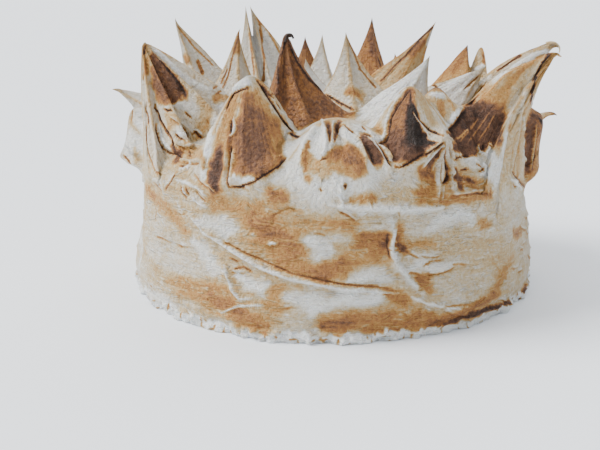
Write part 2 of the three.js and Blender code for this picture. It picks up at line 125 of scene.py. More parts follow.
# Peaks, as in the part's source: foot from above, tip, reach of the skirt and ridges as (bearing, reach, width),
# with the tone of their faces where no stroke below says otherwise
PEAKS = (
    dict(name="far left hook", foot=(-92, 8), tip=(-120, 6, 99), reach=20, bend=1.5, curl=30, swell=0.25, tone=0.16,
         ridges=((180, 28, 20), (60, 30, 25), (-60, 30, 20))),
    dict(name="left lobe", foot=(-95, -8), tip=(-106, -10, 88), reach=18, flare=1, point=1, blunt=0.4, bend=1,
         tone=0.1, ridges=((90, 22, 25), (-90, 22, 25))),
    dict(name="left lump", foot=(-99.4, -10.5), tip=(-114, -11, 65), reach=17, flare=1, point=1, blunt=0.3, bend=1,
         tone=0.12, ridges=((180, 26, 25), (120, 20, 25))),
    dict(name="left sail", foot=(-86, -34), tip=(-92, -32, 125), reach=16, flare=1.1, point=1, bend=1,
         curl=-60, curl_from=0.93, tone=0.2,
         ridges=((28, 56, 22), (-10, 40, 12), (-50, 32, 12), (-95, 30, 12), (-140, 25, 16), (110, 28, 25))),
    dict(name="back left", foot=(-76, 44), tip=(-90, 42, 134), reach=20, bend=1.6, curl=-20, tone=0.14,
         ridges=((-5, 46, 18), (-80, 30, 16), (130, 30, 20))),
    dict(name="mid left", foot=(-53, 0), tip=(-49, 0, 130), reach=18, flare=1.9, curl=30, tone=0.17,
         ridges=((195, 31, 16), (-70, 30, 16), (15, 30, 20), (100, 26, 20))),
    dict(name="twin left", foot=(-46, 40), tip=(-50.5, 40, 147), reach=18, tone=0.16,
         ridges=((-75, 36, 12), (170, 26, 16), (110, 30, 20))),
    dict(name="twin right", foot=(-39, 42), tip=(-49, 42, 145), reach=21, bend=1.5, tone=0.1,
         ridges=((-75, 38, 12), (-10, 42, 18), (90, 28, 20))),
    dict(name="hook", foot=(-25, -42), tip=(-21, -44, 128), reach=16, point=0.75, blunt=0.03, bend=1.6, curl=150,
         tone=0.62, ridges=((1, 54, 22), (178, 17, 14), (-50, 38, 20), (-105, 32, 20), (90, 32, 35))),
    dict(name="front left", foot=(-38, -72), tip=(-38, -75, 113), reach=28, flare=1.25, point=1, blunt=0.25, tone=0.2,
         ridges=((205, 38, 16), (-10, 37, 14), (-100, 38, 10), (80, 26, 25))),
    dict(name="inner small left", foot=(-14, 34), tip=(-17, 38, 112), reach=18, tone=0.08,
         ridges=((0, 26, 20), (120, 22, 20), (240, 26, 20))),
    dict(name="inner small back", foot=(-8, 62), tip=(-8, 62, 124), reach=17, tone=0.1,
         ridges=((-60, 26, 20), (90, 22, 20), (200, 26, 20))),
    dict(name="centre", foot=(7, 4), tip=(5, 6, 128), reach=24, flare=2, tone=0.18,
         ridges=((-10, 46, 16), (185, 32, 18), (-80, 32, 14), (90, 26, 25))),
    dict(name="back middle", foot=(20, 72), tip=(21, 72, 134), reach=21, tone=0.58,
         ridges=((-70, 30, 20), (180, 32, 20), (0, 32, 20), (90, 26, 20))),
    dict(name="back blade", foot=(24, 32), tip=(55, 40, 132), reach=19, bend=1, flat=0.6, flat_along=10, tone=0.36,
         ridges=((190, 26, 18), (10, 34, 12), (-80, 24, 20), (90, 26, 20))),
    dict(name="white blade", foot=(28, -36), tip=(45, -32, 119), reach=24, bend=1, flat=0.7, flat_along=5, tone=0.07,
         ridges=((195, 32, 16), (-5, 34, 12), (-95, 27, 14), (80, 28, 20))),
    dict(name="front brown", foot=(36, -67), tip=(34.5, -68, 109.5), reach=24, flare=1.1, point=1, blunt=0.25, tone=0.2,
         ridges=((190, 26, 12), (-20, 28, 12), (-95, 38, 14))),
    dict(name="shoulder of the front brown", foot=(47, -57), tip=(45.5, -58, 108.5), reach=20, flare=1.1, point=1,
         blunt=0.25, tone=0.3, ridges=((-35, 28, 12), (80, 26, 20))),
    dict(name="right blade", foot=(50, -17), tip=(74, -19, 113), reach=20, bend=1.1, flat=0.6, tone=0.1,
         ridges=((185, 34, 16), (-60, 28, 16), (0, 34, 12), (90, 26, 20))),
    dict(name="back right", foot=(72, 56), tip=(76, 60, 121), reach=20, point=1, tone=0.44,
         ridges=((-90, 30, 20), (160, 38, 20), (20, 26, 20))),
    dict(name="back right twin", foot=(81, 56), tip=(83, 60, 120), reach=21, point=1, blunt=0.25, tone=0.3,
         ridges=((-70, 28, 20), (10, 28, 20))),
    dict(name="right sail", foot=(80, -46), tip=(102, -50, 121), reach=25, flare=1.4, point=0.95, bend=1.8,
         curl=60, curl_from=0.92, swell=0.25, tone=0.3,
         ridges=((205, 52, 16), (180, 44, 18), (-95, 46, 8), (-70, 42, 7), (-45, 34, 8), (40, 28, 20), (120, 30, 20))),
    dict(name="right arc", foot=(78, -15), tip=(106, -32, 123), reach=22, flare=1.3, point=0.95, bend=1.9, curl=80, swell=0.3,
         curl_from=0.9, tone=0.22, ridges=((172, 27, 18), (-60, 30, 18), (60, 32, 20))),
    dict(name="right lobe", foot=(94, -8), tip=(105.5, -11, 86), reach=20, flare=1, point=1, blunt=0.4, tone=0.52,
         ridges=((-80, 26, 18), (10, 24, 25))),
    dict(name="lower right lobe", foot=(99.4, -11), tip=(104, -13, 62), reach=22, flare=1, point=1, blunt=0.6, bend=1,
         tone=0.52, ridges=((-10, 22, 25), (80, 22, 25))),
    dict(name="far right hook", foot=(96, 14), tip=(115, 0, 86), reach=17, bend=1.4, curl=60, curl_from=0.75, swell=0.3, tone=0.3,
         ridges=((-90, 26, 20), (0, 22, 20))),
    dict(name="front mound", foot=(-1, -80), tip=(-3, -80, 94), reach=28, flare=0.95, point=1, blunt=0.6, tone=0.1,
         ridges=((-105, 36, 12), (-60, 36, 12), (-150, 36, 12), (180, 30, 20))),
    dict(name="rear left", foot=(-40, 80), tip=(-41, 86, 121), reach=20, tone=0.5,
         ridges=((-40, 34, 20), (90, 34, 20), (200, 30, 20))),
    dict(name="rear far left", foot=(-72, 64), tip=(-80, 72, 112), reach=20, tone=0.35,
         ridges=((-20, 32, 20), (90, 32, 20), (220, 30, 20))),
    dict(name="rear middle", foot=(-18, 88), tip=(-19, 92, 121), reach=19, tone=0.6,
         ridges=((0, 34, 20), (90, 34, 20), (180, 34, 20))),
    dict(name="rear right", foot=(40, 80), tip=(36, 90, 111), reach=20, tone=0.4,
         ridges=((0, 34, 20), (70, 34, 20), (200, 34, 20))),
    dict(name="far rear right", foot=(90, 36), tip=(104, 42, 106), reach=19, tone=0.5,
         ridges=((90, 30, 20), (200, 30, 20))),
)
PEAK_DEFAULTS = dict(flare=1.6, point=0.85, blunt=0.0, bend=1.3, curl=0.0, curl_from=0.88, flat=1.0, flat_along=0.0,
                     swell=0.0)


def complete_peak(values):
    """Adds the peak's place and the path its middle takes from the bare cake to the tip."""
    peak = dict(PEAK_DEFAULTS, **values)
    peak["centre"] = over_crown(*peak["foot"])
    peak["base"] = surface(peak["centre"][None])[0]
    run = np.array(peak["tip"]) - peak["base"]
    sideways = math.hypot(run[0], run[1])
    peak["toward"] = run[:2] / sideways if sideways > 0.01 else np.array([1.0, 0.0])
    peak["longest"] = max([peak["reach"]] + [ridge[1] for ridge in peak["ridges"]])
    share = np.linspace(0, 1, PATH_STEPS + 1)
    lean = np.arctan(peak["bend"] * sideways * share ** (peak["bend"] - 1) / run[2])
    curl_from = peak["curl_from"]
    angle = lean + math.radians(peak["curl"]) * np.clip((share - curl_from) / (1 - curl_from), 0, 1) ** 1.3
    middle = (angle[1:] + angle[:-1]) / 2
    out = np.append(0, np.cumsum(np.sin(middle)))
    up = np.append(0, np.cumsum(np.cos(middle)))
    length = math.hypot(sideways, run[2]) / math.hypot(out[-1], up[-1])
    peak["path_out"] = out * length + (sideways - out[-1] * length) * share
    peak["path_up"] = up * length + (run[2] - up[-1] * length) * share
    peak["path_angle"] = angle * ease(share / 0.4)
    peak["path_angle"][0] = 0
    return peak


PEAKS = [complete_peak(values) for values in PEAKS]


def off_bearing(bearing, at):
    """Degrees between bearings in radians and one in degrees, never over 180."""
    return np.degrees(np.abs((bearing - math.radians(at) + 5 * math.pi) % TURN - math.pi))


def reach_at(peak, bearing):
    """How far the peak's skirt reaches along bearings: its ridges stand out with sharp crests."""
    reach = np.full(len(bearing), float(peak["reach"]))
    for at, length, width in peak["ridges"]:
        crest = np.exp(0.12 - np.hypot(off_bearing(bearing, at) / width, 0.12))
        reach = np.maximum(reach, peak["reach"] + (length - peak["reach"]) * crest)
    return reach


def pull(peak, points, base):
    """Which points the peak moves, how far, with their share of its rise, their bearing and distance round it."""
    offset = points - peak["centre"]
    near = np.flatnonzero(np.hypot(offset[:, 0], offset[:, 1]) < peak["longest"])
    offset = offset[near]
    distance = np.hypot(offset[:, 0], offset[:, 1])
    bearing = np.arctan2(offset[:, 1], offset[:, 0])
    share = distance / reach_at(peak, bearing)
    keep = share < 1
    near, distance, bearing, share = near[keep], distance[keep], bearing[keep], share[keep]
    blunt = peak["blunt"]
    soft = (np.hypot(share, blunt) - blunt) / (math.hypot(1, blunt) - blunt)
    rise = (1 - soft ** peak["point"]) ** peak["flare"]
    steps = np.linspace(0, 1, PATH_STEPS + 1)
    out, up, angle = (np.interp(rise, steps, peak[key]) for key in ("path_out", "path_up", "path_angle"))
    arm = base[near] - peak["base"]
    lie = math.radians(peak["flat_along"])
    thin = (arm[:, 1] * math.cos(lie) - arm[:, 0] * math.sin(lie)) * (peak["flat"] - 1) * (1 - share) ** 1.5
    arm[:, 0] -= thin * math.sin(lie)
    arm[:, 1] += thin * math.cos(lie)
    toward = peak["toward"]
    ahead = arm[:, 0] * toward[0] + arm[:, 1] * toward[1]
    side = arm[:, 1] * toward[0] - arm[:, 0] * toward[1]
    turned_ahead = ahead * np.cos(angle) + arm[:, 2] * np.sin(angle) + out
    turned_up = arm[:, 2] * np.cos(angle) - ahead * np.sin(angle) + up
    place = np.column_stack([turned_ahead * toward[0] - side * toward[1],
                             turned_ahead * toward[1] + side * toward[0], turned_up]) + peak["base"]
    return near, place - base[near], rise, bearing, distance


def drawn_up(points):
    """The bare cake with its peaks drawn up, and for each point the leading peak with its rise, bearing, distance."""
    base = surface(points)
    total = np.zeros_like(base)
    weight = np.zeros(len(points))
    lead = dict(peak=np.full(len(points), -1), rise=np.zeros(len(points)),
                bearing=np.zeros(len(points)), distance=np.zeros(len(points)))
    for index, peak in enumerate(PEAKS):
        near, moved, rise, bearing, distance = pull(peak, points, base)
        total[near] += moved * (rise ** 2)[:, None]
        weight[near] += rise ** 2
        ahead = rise > lead["rise"][near]
        for key, values in (("peak", index), ("rise", rise), ("bearing", bearing), ("distance", distance)):
            lead[key][near[ahead]] = values if key == "peak" else values[ahead]
    return base + total / np.maximum(weight, 1e-12)[:, None], lead


# Creases, as in the part's source: (bearing, way down the outline) along a line, how high and how wide
CREASES = (
    (1.8, (5, 2.2), ((-129, 120), (-117, 132), (-108, 138), (-93, 143), (-81, 145), (-74, 147))),
    (2.2, (3, 3), ((-76, 114), (-76, 129), (-75, 135), (-71, 144))),
    (1.2, (3, 3), ((-74, 145), (-71, 150), (-63, 157))),
    (1.4, (3, 3), ((-119, 138), (-117, 146), (-113, 154))),
    (1.6, (3.6, 3.6), ((-67, 138), (-60, 139))),
    (1.4, (5, 6), ((-87, 112), (-70, 112), (-56, 113))),
    (1.6, (3, 4), ((-63, 161), (-52, 160), (-37, 160), (-22, 160))),
    (3.0, (3, 5), ((-126, 109), (-119, 107), (-112, 106), (-107, 97), (-103, 87))),
    (1.8, (2.4, 3), ((-119, 97), (-119, 107))),
    (3.0, (3, 5), ((-76, 90), (-75, 96), (-72, 97), (-66, 96), (-58, 91))),
    (2.6, (3, 3), ((-58, 90), (-62, 101), (-64, 112))),
    (2.0, (2.6, 2.6), ((-58, 90), (-65, 96), (-68, 100))),
    (2.2, (2.6, 2.6), ((-57, 90), (-56, 96), (-58, 107))),
    (2.2, (3, 5), ((-58, 107), (-53, 108), (-46, 112))),
    (2.6, (4, 3), ((-99, 98), (-98, 91), (-94, 83))),
    (-3.0, (3, 3), ((-88, 83), (-88, 96))),
    (2.4, (3, 4), ((-81, 89), (-78, 95), (-76, 98))),
    (2.2, (3, 3), ((-155, 104), (-151, 109), (-145, 110))),
    (2.0, (3, 3), ((-152, 96), (-146, 93), (-141, 92))),
)


def crease_points(line):
    """Points of the disc along a crease, about a stride apart on the bare cake."""
    rows = []
    for (from_bearing, from_down), (bearing, down) in zip(line, line[1:]):
        ends = surface(on_disc(np.array([from_bearing, bearing]), np.array([from_down, down])))
        count = max(1, round(float(np.linalg.norm(ends[1] - ends[0])) / STRIDE))
        share = np.arange(0 if not rows else 1, count + 1) / count
        rows.append(on_disc(from_bearing + share * (bearing - from_bearing), from_down + share * (down - from_down)))
    return np.vstack(rows)


def nearest(spots, places):
    """For each spot, the gap to a line through places, the share along it, and the arm and step there."""
    best = dict(gap=np.full(len(spots), np.inf), share=np.zeros(len(spots)),
                side=np.zeros(len(spots)), part=np.zeros(len(spots)))
    for k in range(len(places) - 1):
        step = places[k + 1] - places[k]
        arm = spots - places[k]
        t = np.clip(arm @ step / max(step @ step, 1e-9), 0, 1)
        gap = np.linalg.norm(arm - t[:, None] * step, axis=1)
        closer = gap < best["gap"]
        cross = np.cross(step, arm[closer])
        best["gap"][closer] = gap[closer]
        best["part"][closer] = k + t[closer]
        best["share"][closer] = (k + t[closer]) / (len(places) - 1)
        best["side"][closer] = cross @ np.array([places[k][0], places[k][1], 40.0])
    return best


def inside_box(spots, places, margin):
    low, high = places.min(0) - margin, places.max(0) + margin
    return np.flatnonzero(((spots > low) & (spots < high)).all(1))


def crease_relief(points, base):
    """How high the source's creases lift the coat."""
    high = np.zeros(len(points))
    for lifted, widths, line in CREASES:
        places = surface(crease_points(line))
        near = inside_box(base, places, max(widths))
        best = nearest(base[near], places)
        width = np.where(best["side"] > 0, widths[0], widths[1])
        ends = np.clip(np.minimum(best["share"], 1 - best["share"]) * 5 + 0.35, 0, 1)
        high[near] += lifted * ends * np.clip(1 - best["gap"] / width, 0, 1) ** 1.4
    return high


# Strokes of the torch and the spatula, and of painted shade: (tone, softness, relief, points as (pixel across, pixel
# down, half width)). Strokes with a negative relief sink grooves, and their dark tone is painted shade in those
# creases.
# Each is laid on the coat where the photograph shows it. Softness is a share of the width, relief is in millimetres.
STROKES = (
    # wall, left: haze first, then orange patches, then what the torch left white
    (0.25, 1.0, 0.0, ((150, 200, 10), (168, 222, 14), (190, 238, 12))),
    (0.18, 1.0, 0.0, ((150, 250, 9), (168, 262, 14), (196, 278, 14))),
    (0.40, 1.0, 0.0, ((212, 196, 10), (240, 218, 22), (272, 238, 28), (300, 256, 24), (335, 266, 16), (380, 260, 14))),
    (0.38, 1.0, 0.0, ((176, 282, 10), (205, 296, 16), (240, 312, 16), (268, 318, 12))),
    (0.45, 0.9, 0.0, ((148, 188, 6), (160, 204, 8), (173, 216, 8), (188, 232, 7))),
    (0.54, 0.8, 0.0, ((149, 188, 3.5), (154, 196, 4))),
    (0.46, 0.9, 0.0, ((180, 282, 8), (200, 290, 12), (218, 300, 12), (236, 314, 11))),
    (0.58, 0.8, 0.0, ((206, 296, 6), (226, 306, 8), (246, 320, 9), (264, 326, 6))),
    (0.44, 0.9, 0.0, ((276, 286, 8), (283, 296, 12), (278, 306, 9))),
    (0.46, 0.9, 0.0, ((210, 194, 8), (236, 206, 12), (258, 220, 15), (276, 240, 16))),
    (0.59, 1.0, 0.0, ((258, 222, 8), (276, 234, 13), (290, 248, 10))),
    (0.62, 0.7, 0.0, ((273, 194, 6), (283, 199, 6))),
    (0.44, 0.8, 0.0, ((252, 204, 4), (276, 208, 4), (300, 212, 4))),
    (0.09, 1.0, 0.0, ((197, 222, 3), (207, 224, 8), (222, 225, 11), (237, 231, 5))),
    (0.09, 1.0, 0.0, ((194, 244, 4), (203, 254, 8), (212, 264, 8), (224, 270, 3))),
    (0.06, 1.0, 0.0, ((236, 275, 2), (246, 283, 5), (259, 288, 6), (274, 284, 2))),
    (0.06, 1.0, 0.0, ((284, 298, 3), (298, 297, 7), (316, 305, 11), (336, 301, 4))),
    (0.08, 1.0, 0.0, ((138, 226, 5), (143, 244, 7), (141, 262, 6))),
    (0.10, 1.0, 0.0, ((148, 290, 4), (162, 299, 7), (178, 307, 5))),
    # wall, middle
    (0.44, 0.9, 0.0, ((300, 222, 8), (322, 224, 9), (350, 228, 8))),
    (0.52, 0.8, 0.0, ((276, 262, 4), (300, 270, 6), (322, 274, 8))),
    (0.59, 1.0, 0.0, ((326, 273, 10), (342, 266, 13), (354, 258, 9))),
    (0.09, 1.0, 0.0, ((299, 242, 4), (309, 240, 9), (322, 250, 12), (338, 257, 5))),
    (0.40, 0.9, 0.0, ((352, 256, 6), (374, 258, 5), (390, 256, 4))),
    (0.61, 1.0, 0.0, ((360, 240, 10), (378, 241, 12), (389, 242, 9))),
    (0.70, 0.9, 0.0, ((380, 243, 4), (388, 244, 5))),
    (0.74, 0.8, 0.0, ((398, 230, 4), (400, 240, 6), (402, 248, 5))),
    (0.46, 0.9, 0.0, ((406, 240, 7), (422, 240, 8), (440, 237, 6))),
    (0.09, 1.0, 0.0, ((350, 284, 3), (362, 276, 8), (377, 273, 9), (392, 280, 4))),
    (0.06, 1.0, 0.0, ((326, 312, 3), (344, 300, 8), (366, 303, 9), (388, 295, 3))),
    (0.56, 0.8, 0.0, ((385, 294, 5), (396, 298, 7), (404, 300, 5))),
    (0.56, 0.8, 0.0, ((418, 279, 6), (428, 283, 9))),
    # wall, right
    (0.22, 1.0, 0.0, ((415, 220, 14), (470, 225, 16), (515, 235, 12))),
    (0.30, 1.0, 0.0, ((448, 246, 14), (476, 248, 18), (505, 256, 14))),
    (0.24, 1.0, 0.0, ((440, 284, 12), (480, 282, 12))),
    (0.08, 1.0, 0.0, ((426, 228, 3), (440, 221, 8), (458, 216, 8), (474, 221, 3))),
    (0.10, 1.0, 0.0, ((408, 268, 3), (420, 262, 6), (436, 270, 5), (452, 262, 3))),
    (0.50, 0.8, 0.0, ((512, 258, 4), (500, 276, 8), (494, 294, 6))),
    (0.50, 0.8, 0.0, ((479, 222, 4), (490, 225, 4))),
    (0.60, 0.8, 0.0, ((514, 233, 4), (521, 231, 4))),
    # band above the foot
    (0.40, 0.9, 0.0, ((320, 318, 5), (360, 312, 5), (420, 306, 5))),
    (0.56, 0.8, 0.0, ((326, 328, 7), (350, 325, 10), (385, 324, 10), (430, 322, 9), (462, 314, 7), (492, 300, 6))),
    (0.64, 0.8, 0.0, ((326, 330, 5), (345, 326, 6))),
    (0.64, 0.8, 0.0, ((428, 324, 5), (452, 319, 5))),
    (0.82, 0.8, 0.9, ((436, 326, 1.4), (458, 318, 2.2), (480, 311, 2.8), (500, 304, 3.2), (518, 294, 3), (527, 281, 2.4))),
    # wall top
    (0.50, 0.8, 0.0, ((352, 200, 4), (372, 198, 6))),
    (0.56, 1.0, 0.0, ((426, 178, 8), (428, 190, 10), (422, 200, 10), (408, 203, 6))),
    (0.54, 0.8, 0.0, ((440, 199, 6), (462, 199, 6), (490, 194, 6))),
    (0.30, 0.9, 0.0, ((385, 196, 8), (410, 200, 8))),
    (0.16, 0.9, 0.0, ((350, 209, 4), (400, 209, 4), (440, 209, 4))),
    # front left peak: face, then ridge, lip and folds
    (0.46, 0.6, 0.0, ((234, 98, 5), (230, 112, 6), (228, 128, 7), (228, 144, 7))),
    (0.47, 0.7, 0.0, ((256, 94, 6), (266, 110, 7), (275, 126, 8), (279, 142, 7), (275, 156, 7), (262, 168, 6))),
    (0.64, 0.7, 0.0, ((246, 98, 10), (248, 108, 15), (252, 124, 21), (256, 142, 24), (252, 158, 23), (246, 168, 14))),
    (0.72, 1.0, 0.0, ((250, 112, 10), (253, 130, 15), (256, 148, 17), (254, 161, 13))),
    (0.44, 0.6, 0.0, ((225, 122, 4), (221, 136, 6), (218, 150, 8))),
    (0.82, 0.6, 0.0, ((220, 152, 6), (217, 166, 10), (214, 180, 10), (213, 187, 7))),
    (WHITE, 0.4, 0.8, ((250, 79, 7), (238, 85, 6), (225, 101, 5), (212, 126, 5), (206, 150, 4.5), (203, 180, 4))),
    (WHITE, 0.5, 0.0, ((234, 176, 3), (240, 181, 3), (250, 179, 4))),
    (BURNT_AND_SHADE, 0.4, -0.7, ((249, 88, 0.7), (242, 89, 0.9), (234, 93, 1), (229, 101, 0.9), (226, 110, 0.6))),
    (DARK, 0.5, -0.6, ((256, 79, 0.9), (267, 93, 1.1), (273, 98, 1.1), (278, 95, 1))),
    (BURNT_AND_SHADE, 0.4, -0.8, ((262, 86, 0.9), (267, 95, 1.1), (276, 109, 1.3), (285, 122, 1.3), (295, 133, 1.5))),
    (0.2, 0.5, 0.6, ((269, 95, 1.2), (281, 112, 1.6), (296, 129, 1.6))),
    (DARK, 0.5, -0.6, ((276, 103, 0.8), (285, 115, 0.9), (298, 129, 0.9))),
    (CREAM, 0.4, 0.8, ((234, 150, 0.9), (232, 166, 1), (230, 178, 0.9))),
    (BURNT_AND_SHADE, 0.5, -0.9, ((231, 147, 0.9), (229, 166, 1), (226.5, 181, 1.1), (228, 187, 1))),
    (BURNT_AND_SHADE, 0.5, -0.7, ((228, 187, 1), (240, 187, 1), (255, 181, 1), (269, 172, 1), (278, 165, 0.9), (285, 157, 0.7))),
    (WHITE, 0.4, 0.9, ((234, 118, 1.2), (236, 126, 1.4), (234, 134, 1.3), (229, 135, 0.8))),
    (BURNT_AND_SHADE, 0.5, -0.8, ((231.5, 121, 0.8), (230, 127, 1), (230.5, 131, 1), (232, 134, 0.8))),
    # hook
    (0.69, 0.5, 0.0, ((287, 46, 3), (288, 66, 9), (292, 88, 16), (304, 110, 17), (322, 108, 13), (338, 112, 6))),
    (0.62, 1.0, 0.0, ((290, 84, 4), (296, 100, 6), (306, 114, 5))),
    (BURNT_AND_SHADE, 0.4, 0.4, ((293, 38, 1), (289, 34, 1), (285, 40, 1.2), (283, 50, 1))),
    (DARK, 0.5, 0.3, ((283, 50, 0.9), (279, 60, 0.9), (278, 75, 0.8), (278, 95, 0.8))),
    (BURNT_AND_SHADE, 0.5, 0.4, ((290, 46, 1), (296, 61, 1), (307, 77, 1.1), (322, 92, 1.1), (340, 103, 1.2), (353, 110, 1.2))),
    # mound: pale lobes, a darker cleft, a brown patch and the dark fold on the right, whose grooves carry painted shade
    (0.08, 0.6, 0.0, ((304, 140, 7), (312, 132, 9), (320, 134, 8), (320, 146, 6))),
    (0.08, 0.6, 0.0, ((340, 132, 4), (348, 134, 7), (352, 139, 6))),
    (0.40, 0.7, 0.0, ((309, 156, 6), (314, 166, 9), (324, 174, 7))),
    (0.58, 0.45, 0.0, ((309, 141, 1.2), (305.5, 151, 2.8), (304.5, 163, 3.6), (306, 174, 3.2), (309.5, 181, 1.4))),
    (0.46, 0.7, 0.0, ((330, 164, 6), (344, 168, 8), (360, 172, 6))),
    (0.58, 0.5, 0.0, ((333, 156, 6), (341, 152, 9), (350, 153, 11), (358, 162, 9), (361, 169, 5))),
    (0.68, 0.9, 0.0, ((336, 154, 4), (350, 158, 6))),
    (0.78, 0.4, -0.8, ((325.5, 118, 2), (327.8, 125, 2.8), (329.5, 133, 2.2), (330, 142, 1))),
    (0.78, 0.4, -0.8, ((340, 119.5, 2), (338, 126, 2.8), (335.5, 133, 2.1), (334, 142, 1))),
    (WHITE, 0.4, 1.0, ((322, 120, 1.4), (325, 129, 1.8), (326, 140, 2), (325, 150, 1.8), (322, 157, 1.2))),
    (0.12, 0.4, 0.9, ((333.5, 121, 0.9), (332.8, 131, 1), (332, 141, 1.3), (330, 151, 1.3))),
    (0.8, 0.6, -0.6, ((319, 161, 0.7), (323, 159, 1), (327, 158, 0.7))),
    (DARK, 0.5, -0.6, ((344, 124, 0.8), (352, 131, 1.2), (360, 138, 1.1))),
    (0.76, 0.4, -0.4, ((361, 133, 2.4), (367, 140, 6), (372, 149, 7.5), (376, 158, 7), (377, 167, 4))),
    (0.88, 0.6, -0.5, ((363, 133, 1.6), (371, 136, 2.2))),
    (BURNT_AND_SHADE, 0.5, -0.5, ((366, 144, 0.8), (371, 154, 1.2), (373, 164, 0.9))),
    (CREAM, 0.4, 1.0, ((354, 134, 1), (360, 143, 1.4), (364.5, 155, 1.7), (366, 166, 1.4))),
    (CREAM, 0.4, 1.0, ((381, 144, 0.9), (386, 152, 1.3), (391, 161, 1.3), (395, 170, 1))),
    (BURNT_AND_SHADE, 0.4, -0.7, ((376, 141, 0.8), (381, 148, 1.3), (386, 157, 1.3), (391, 168, 0.9))),
    (BURNT_AND_SHADE, 0.5, -0.6, ((289, 133, 1.4), (294, 135, 2.4), (298.5, 137, 1.6))),
    (WHITE, 0.4, 0.9, ((332, 190, 0.9), (339, 195, 1.2), (344, 205, 0.9))),
    (WHITE, 0.4, 0.9, ((344, 179, 0.9), (342, 186, 1.1), (340.5, 193, 0.8))),
    (DARK, 0.5, -0.7, ((346, 184, 1), (345.5, 188, 1.1))),
    (DARK, 0.6, -0.5, ((320, 189, 0.8), (321.5, 191, 0.8))),
    # front brown peak
    (0.62, 0.45, 0.0, ((409, 92, 4), (405, 104, 9), (402, 118, 13), (401, 132, 15), (401, 148, 14), (416, 146, 12),
                       (430, 142, 7), (438, 140, 4))),
    (0.65, 0.8, 0.0, ((406, 95, 6), (402, 110, 10), (396, 125, 11))),
    (0.76, 0.5, 0.0, ((394, 138, 11), (398, 152, 12), (412, 148, 11), (430, 144, 6))),
    (1.00, 0.6, 0.0, ((411, 106, 4), (414, 122, 9), (416, 137, 12), (428, 140, 6))),
    (0.34, 0.6, 0.0, ((420, 92, 7), (426, 108, 8), (434, 122, 5))),
    (WHITE, 0.4, 0.0, ((398, 96, 2), (389, 104, 4), (383, 113, 6), (376, 122, 7), (368, 130, 5))),
    (0.46, 0.6, 0.0, ((377, 126, 4), (379, 133, 4.5))),
    (0.20, 0.5, 0.0, ((430, 138, 3), (438, 139, 4))),
    (WHITE, 0.5, 0.7, ((416, 82, 1.4), (403, 92, 1.4), (392, 108, 1.4), (387, 120, 1.4), (385, 131, 1.3), (383, 138.5, 1.3),
                       (378, 140.5, 1.2), (373, 137.5, 1), (369, 130, 0.9))),
    (BURNT_AND_SHADE, 0.5, -0.8, ((409, 90, 0.9), (397, 106, 1.1), (390, 118, 1.2), (387.8, 131, 1.3), (386, 141, 1.3), (379.6, 143, 1))),
    (BURNT_AND_SHADE, 0.4, -0.6, ((410, 90, 1), (410, 106, 1.3), (417, 118, 1.6), (430, 130, 1.6), (443, 135, 1.5))),
    (WHITE, 0.5, 0.5, ((413, 112, 0.9), (424, 130, 1), (428, 136, 0.9))),
    (CREAM, 0.4, 0.8, ((384, 163, 1.2), (391, 171, 1.5), (398, 172, 1.5), (408, 167, 1.4), (424, 158, 1.4), (440, 142, 1.4))),
    (BURNT_AND_SHADE, 0.4, -0.6, ((399, 168, 0.9), (415, 160, 1), (429, 151, 1))),
    (DARK, 0.4, -0.4, ((428, 81, 1), (437, 87, 1))),
    # white blade and the arch behind it
    (WHITE, 0.4, 0.0, ((424, 64, 4), (405, 80, 9), (385, 96, 12), (366, 114, 9))),
    (BURNT_AND_SHADE, 0.5, -0.7, ((362.5, 126, 1.2), (365.5, 130, 1.4))),
    (WHITE, 0.4, 0.4, ((430, 94, 3), (445, 96, 4))),
    (0.52, 0.6, 0.0, ((441, 104, 4), (442, 115, 3.5))),
    # right blade
    (WHITE, 0.4, 0.4, ((485, 65, 2.4), (465, 77, 4.5), (448, 88, 6))),
    (BURNT_AND_SHADE, 0.5, -0.4, ((487.5, 65.5, 1.1), (486.5, 69.5, 1.2))),
    (0.66, 0.5, -0.6, ((483, 73, 0.8), (473, 81, 0.9), (464, 89, 0.8))),
    # right sail: face, bands and edges
    (0.83, 0.5, 0.0, ((452, 138, 5), (462, 127, 10), (474, 116, 14), (486, 118, 17), (494, 124, 15), (494, 136, 10))),
    (0.80, 0.5, 0.0, ((460, 142, 5), (470, 144, 8), (480, 146, 7))),
    (0.78, 0.5, 0.0, ((460, 134, 5), (472, 136, 8), (486, 132, 10), (494, 142, 6), (484, 142, 6))),
    (0.74, 0.8, 0.0, ((478, 102, 7), (490, 101, 9), (499, 110, 7))),
    (0.80, 0.5, -0.5, ((454, 149, 1.6), (463, 147, 2.6), (472, 149, 2.6), (476, 153, 1.6))),
    (0.44, 0.8, 0.0, ((484, 95, 5), (497, 97, 8), (505, 92, 6), (511, 82, 4))),
    (0.50, 0.6, 0.0, ((511, 82, 3.4), (523, 68, 3), (538, 58, 2.2), (548, 53, 1.2))),
    (WHITE, 0.6, 0.3, ((487, 78, 3), (497, 79, 5), (508, 71, 3.6), (520, 62, 2.6), (535, 54.5, 2.2), (550, 50.5, 1.8))),
    (WHITE, 0.4, 0.6, ((484, 80, 2.6), (476, 88, 3.2), (465, 103, 3.4), (456, 115, 3.2), (445, 129, 2.6))),
    (BURNT_AND_SHADE, 0.4, -0.8, ((486, 85, 1.4), (480, 90, 2.6), (473, 99, 2.9), (466, 109, 2.6), (458, 121, 2.2), (447, 132, 1.4))),
    (0.22, 0.6, 0.0, ((518, 92, 2.4), (512, 105, 3.4), (508, 121, 3.6), (504, 134, 3.6))),
    (0.06, 0.6, 0.0, ((506, 134, 3), (503, 149, 4), (502, 165, 4.4), (498, 179, 4), (494, 188, 3))),
    (CREAM, 0.5, 0.7, ((549, 53.5, 1.4), (538, 65, 2), (531, 77, 2.2), (525, 90, 2.4), (522, 105, 2.4), (519, 122, 2.2),
                       (517, 138, 2), (514, 152, 2), (510, 169, 1.8), (508, 185, 1.6))),
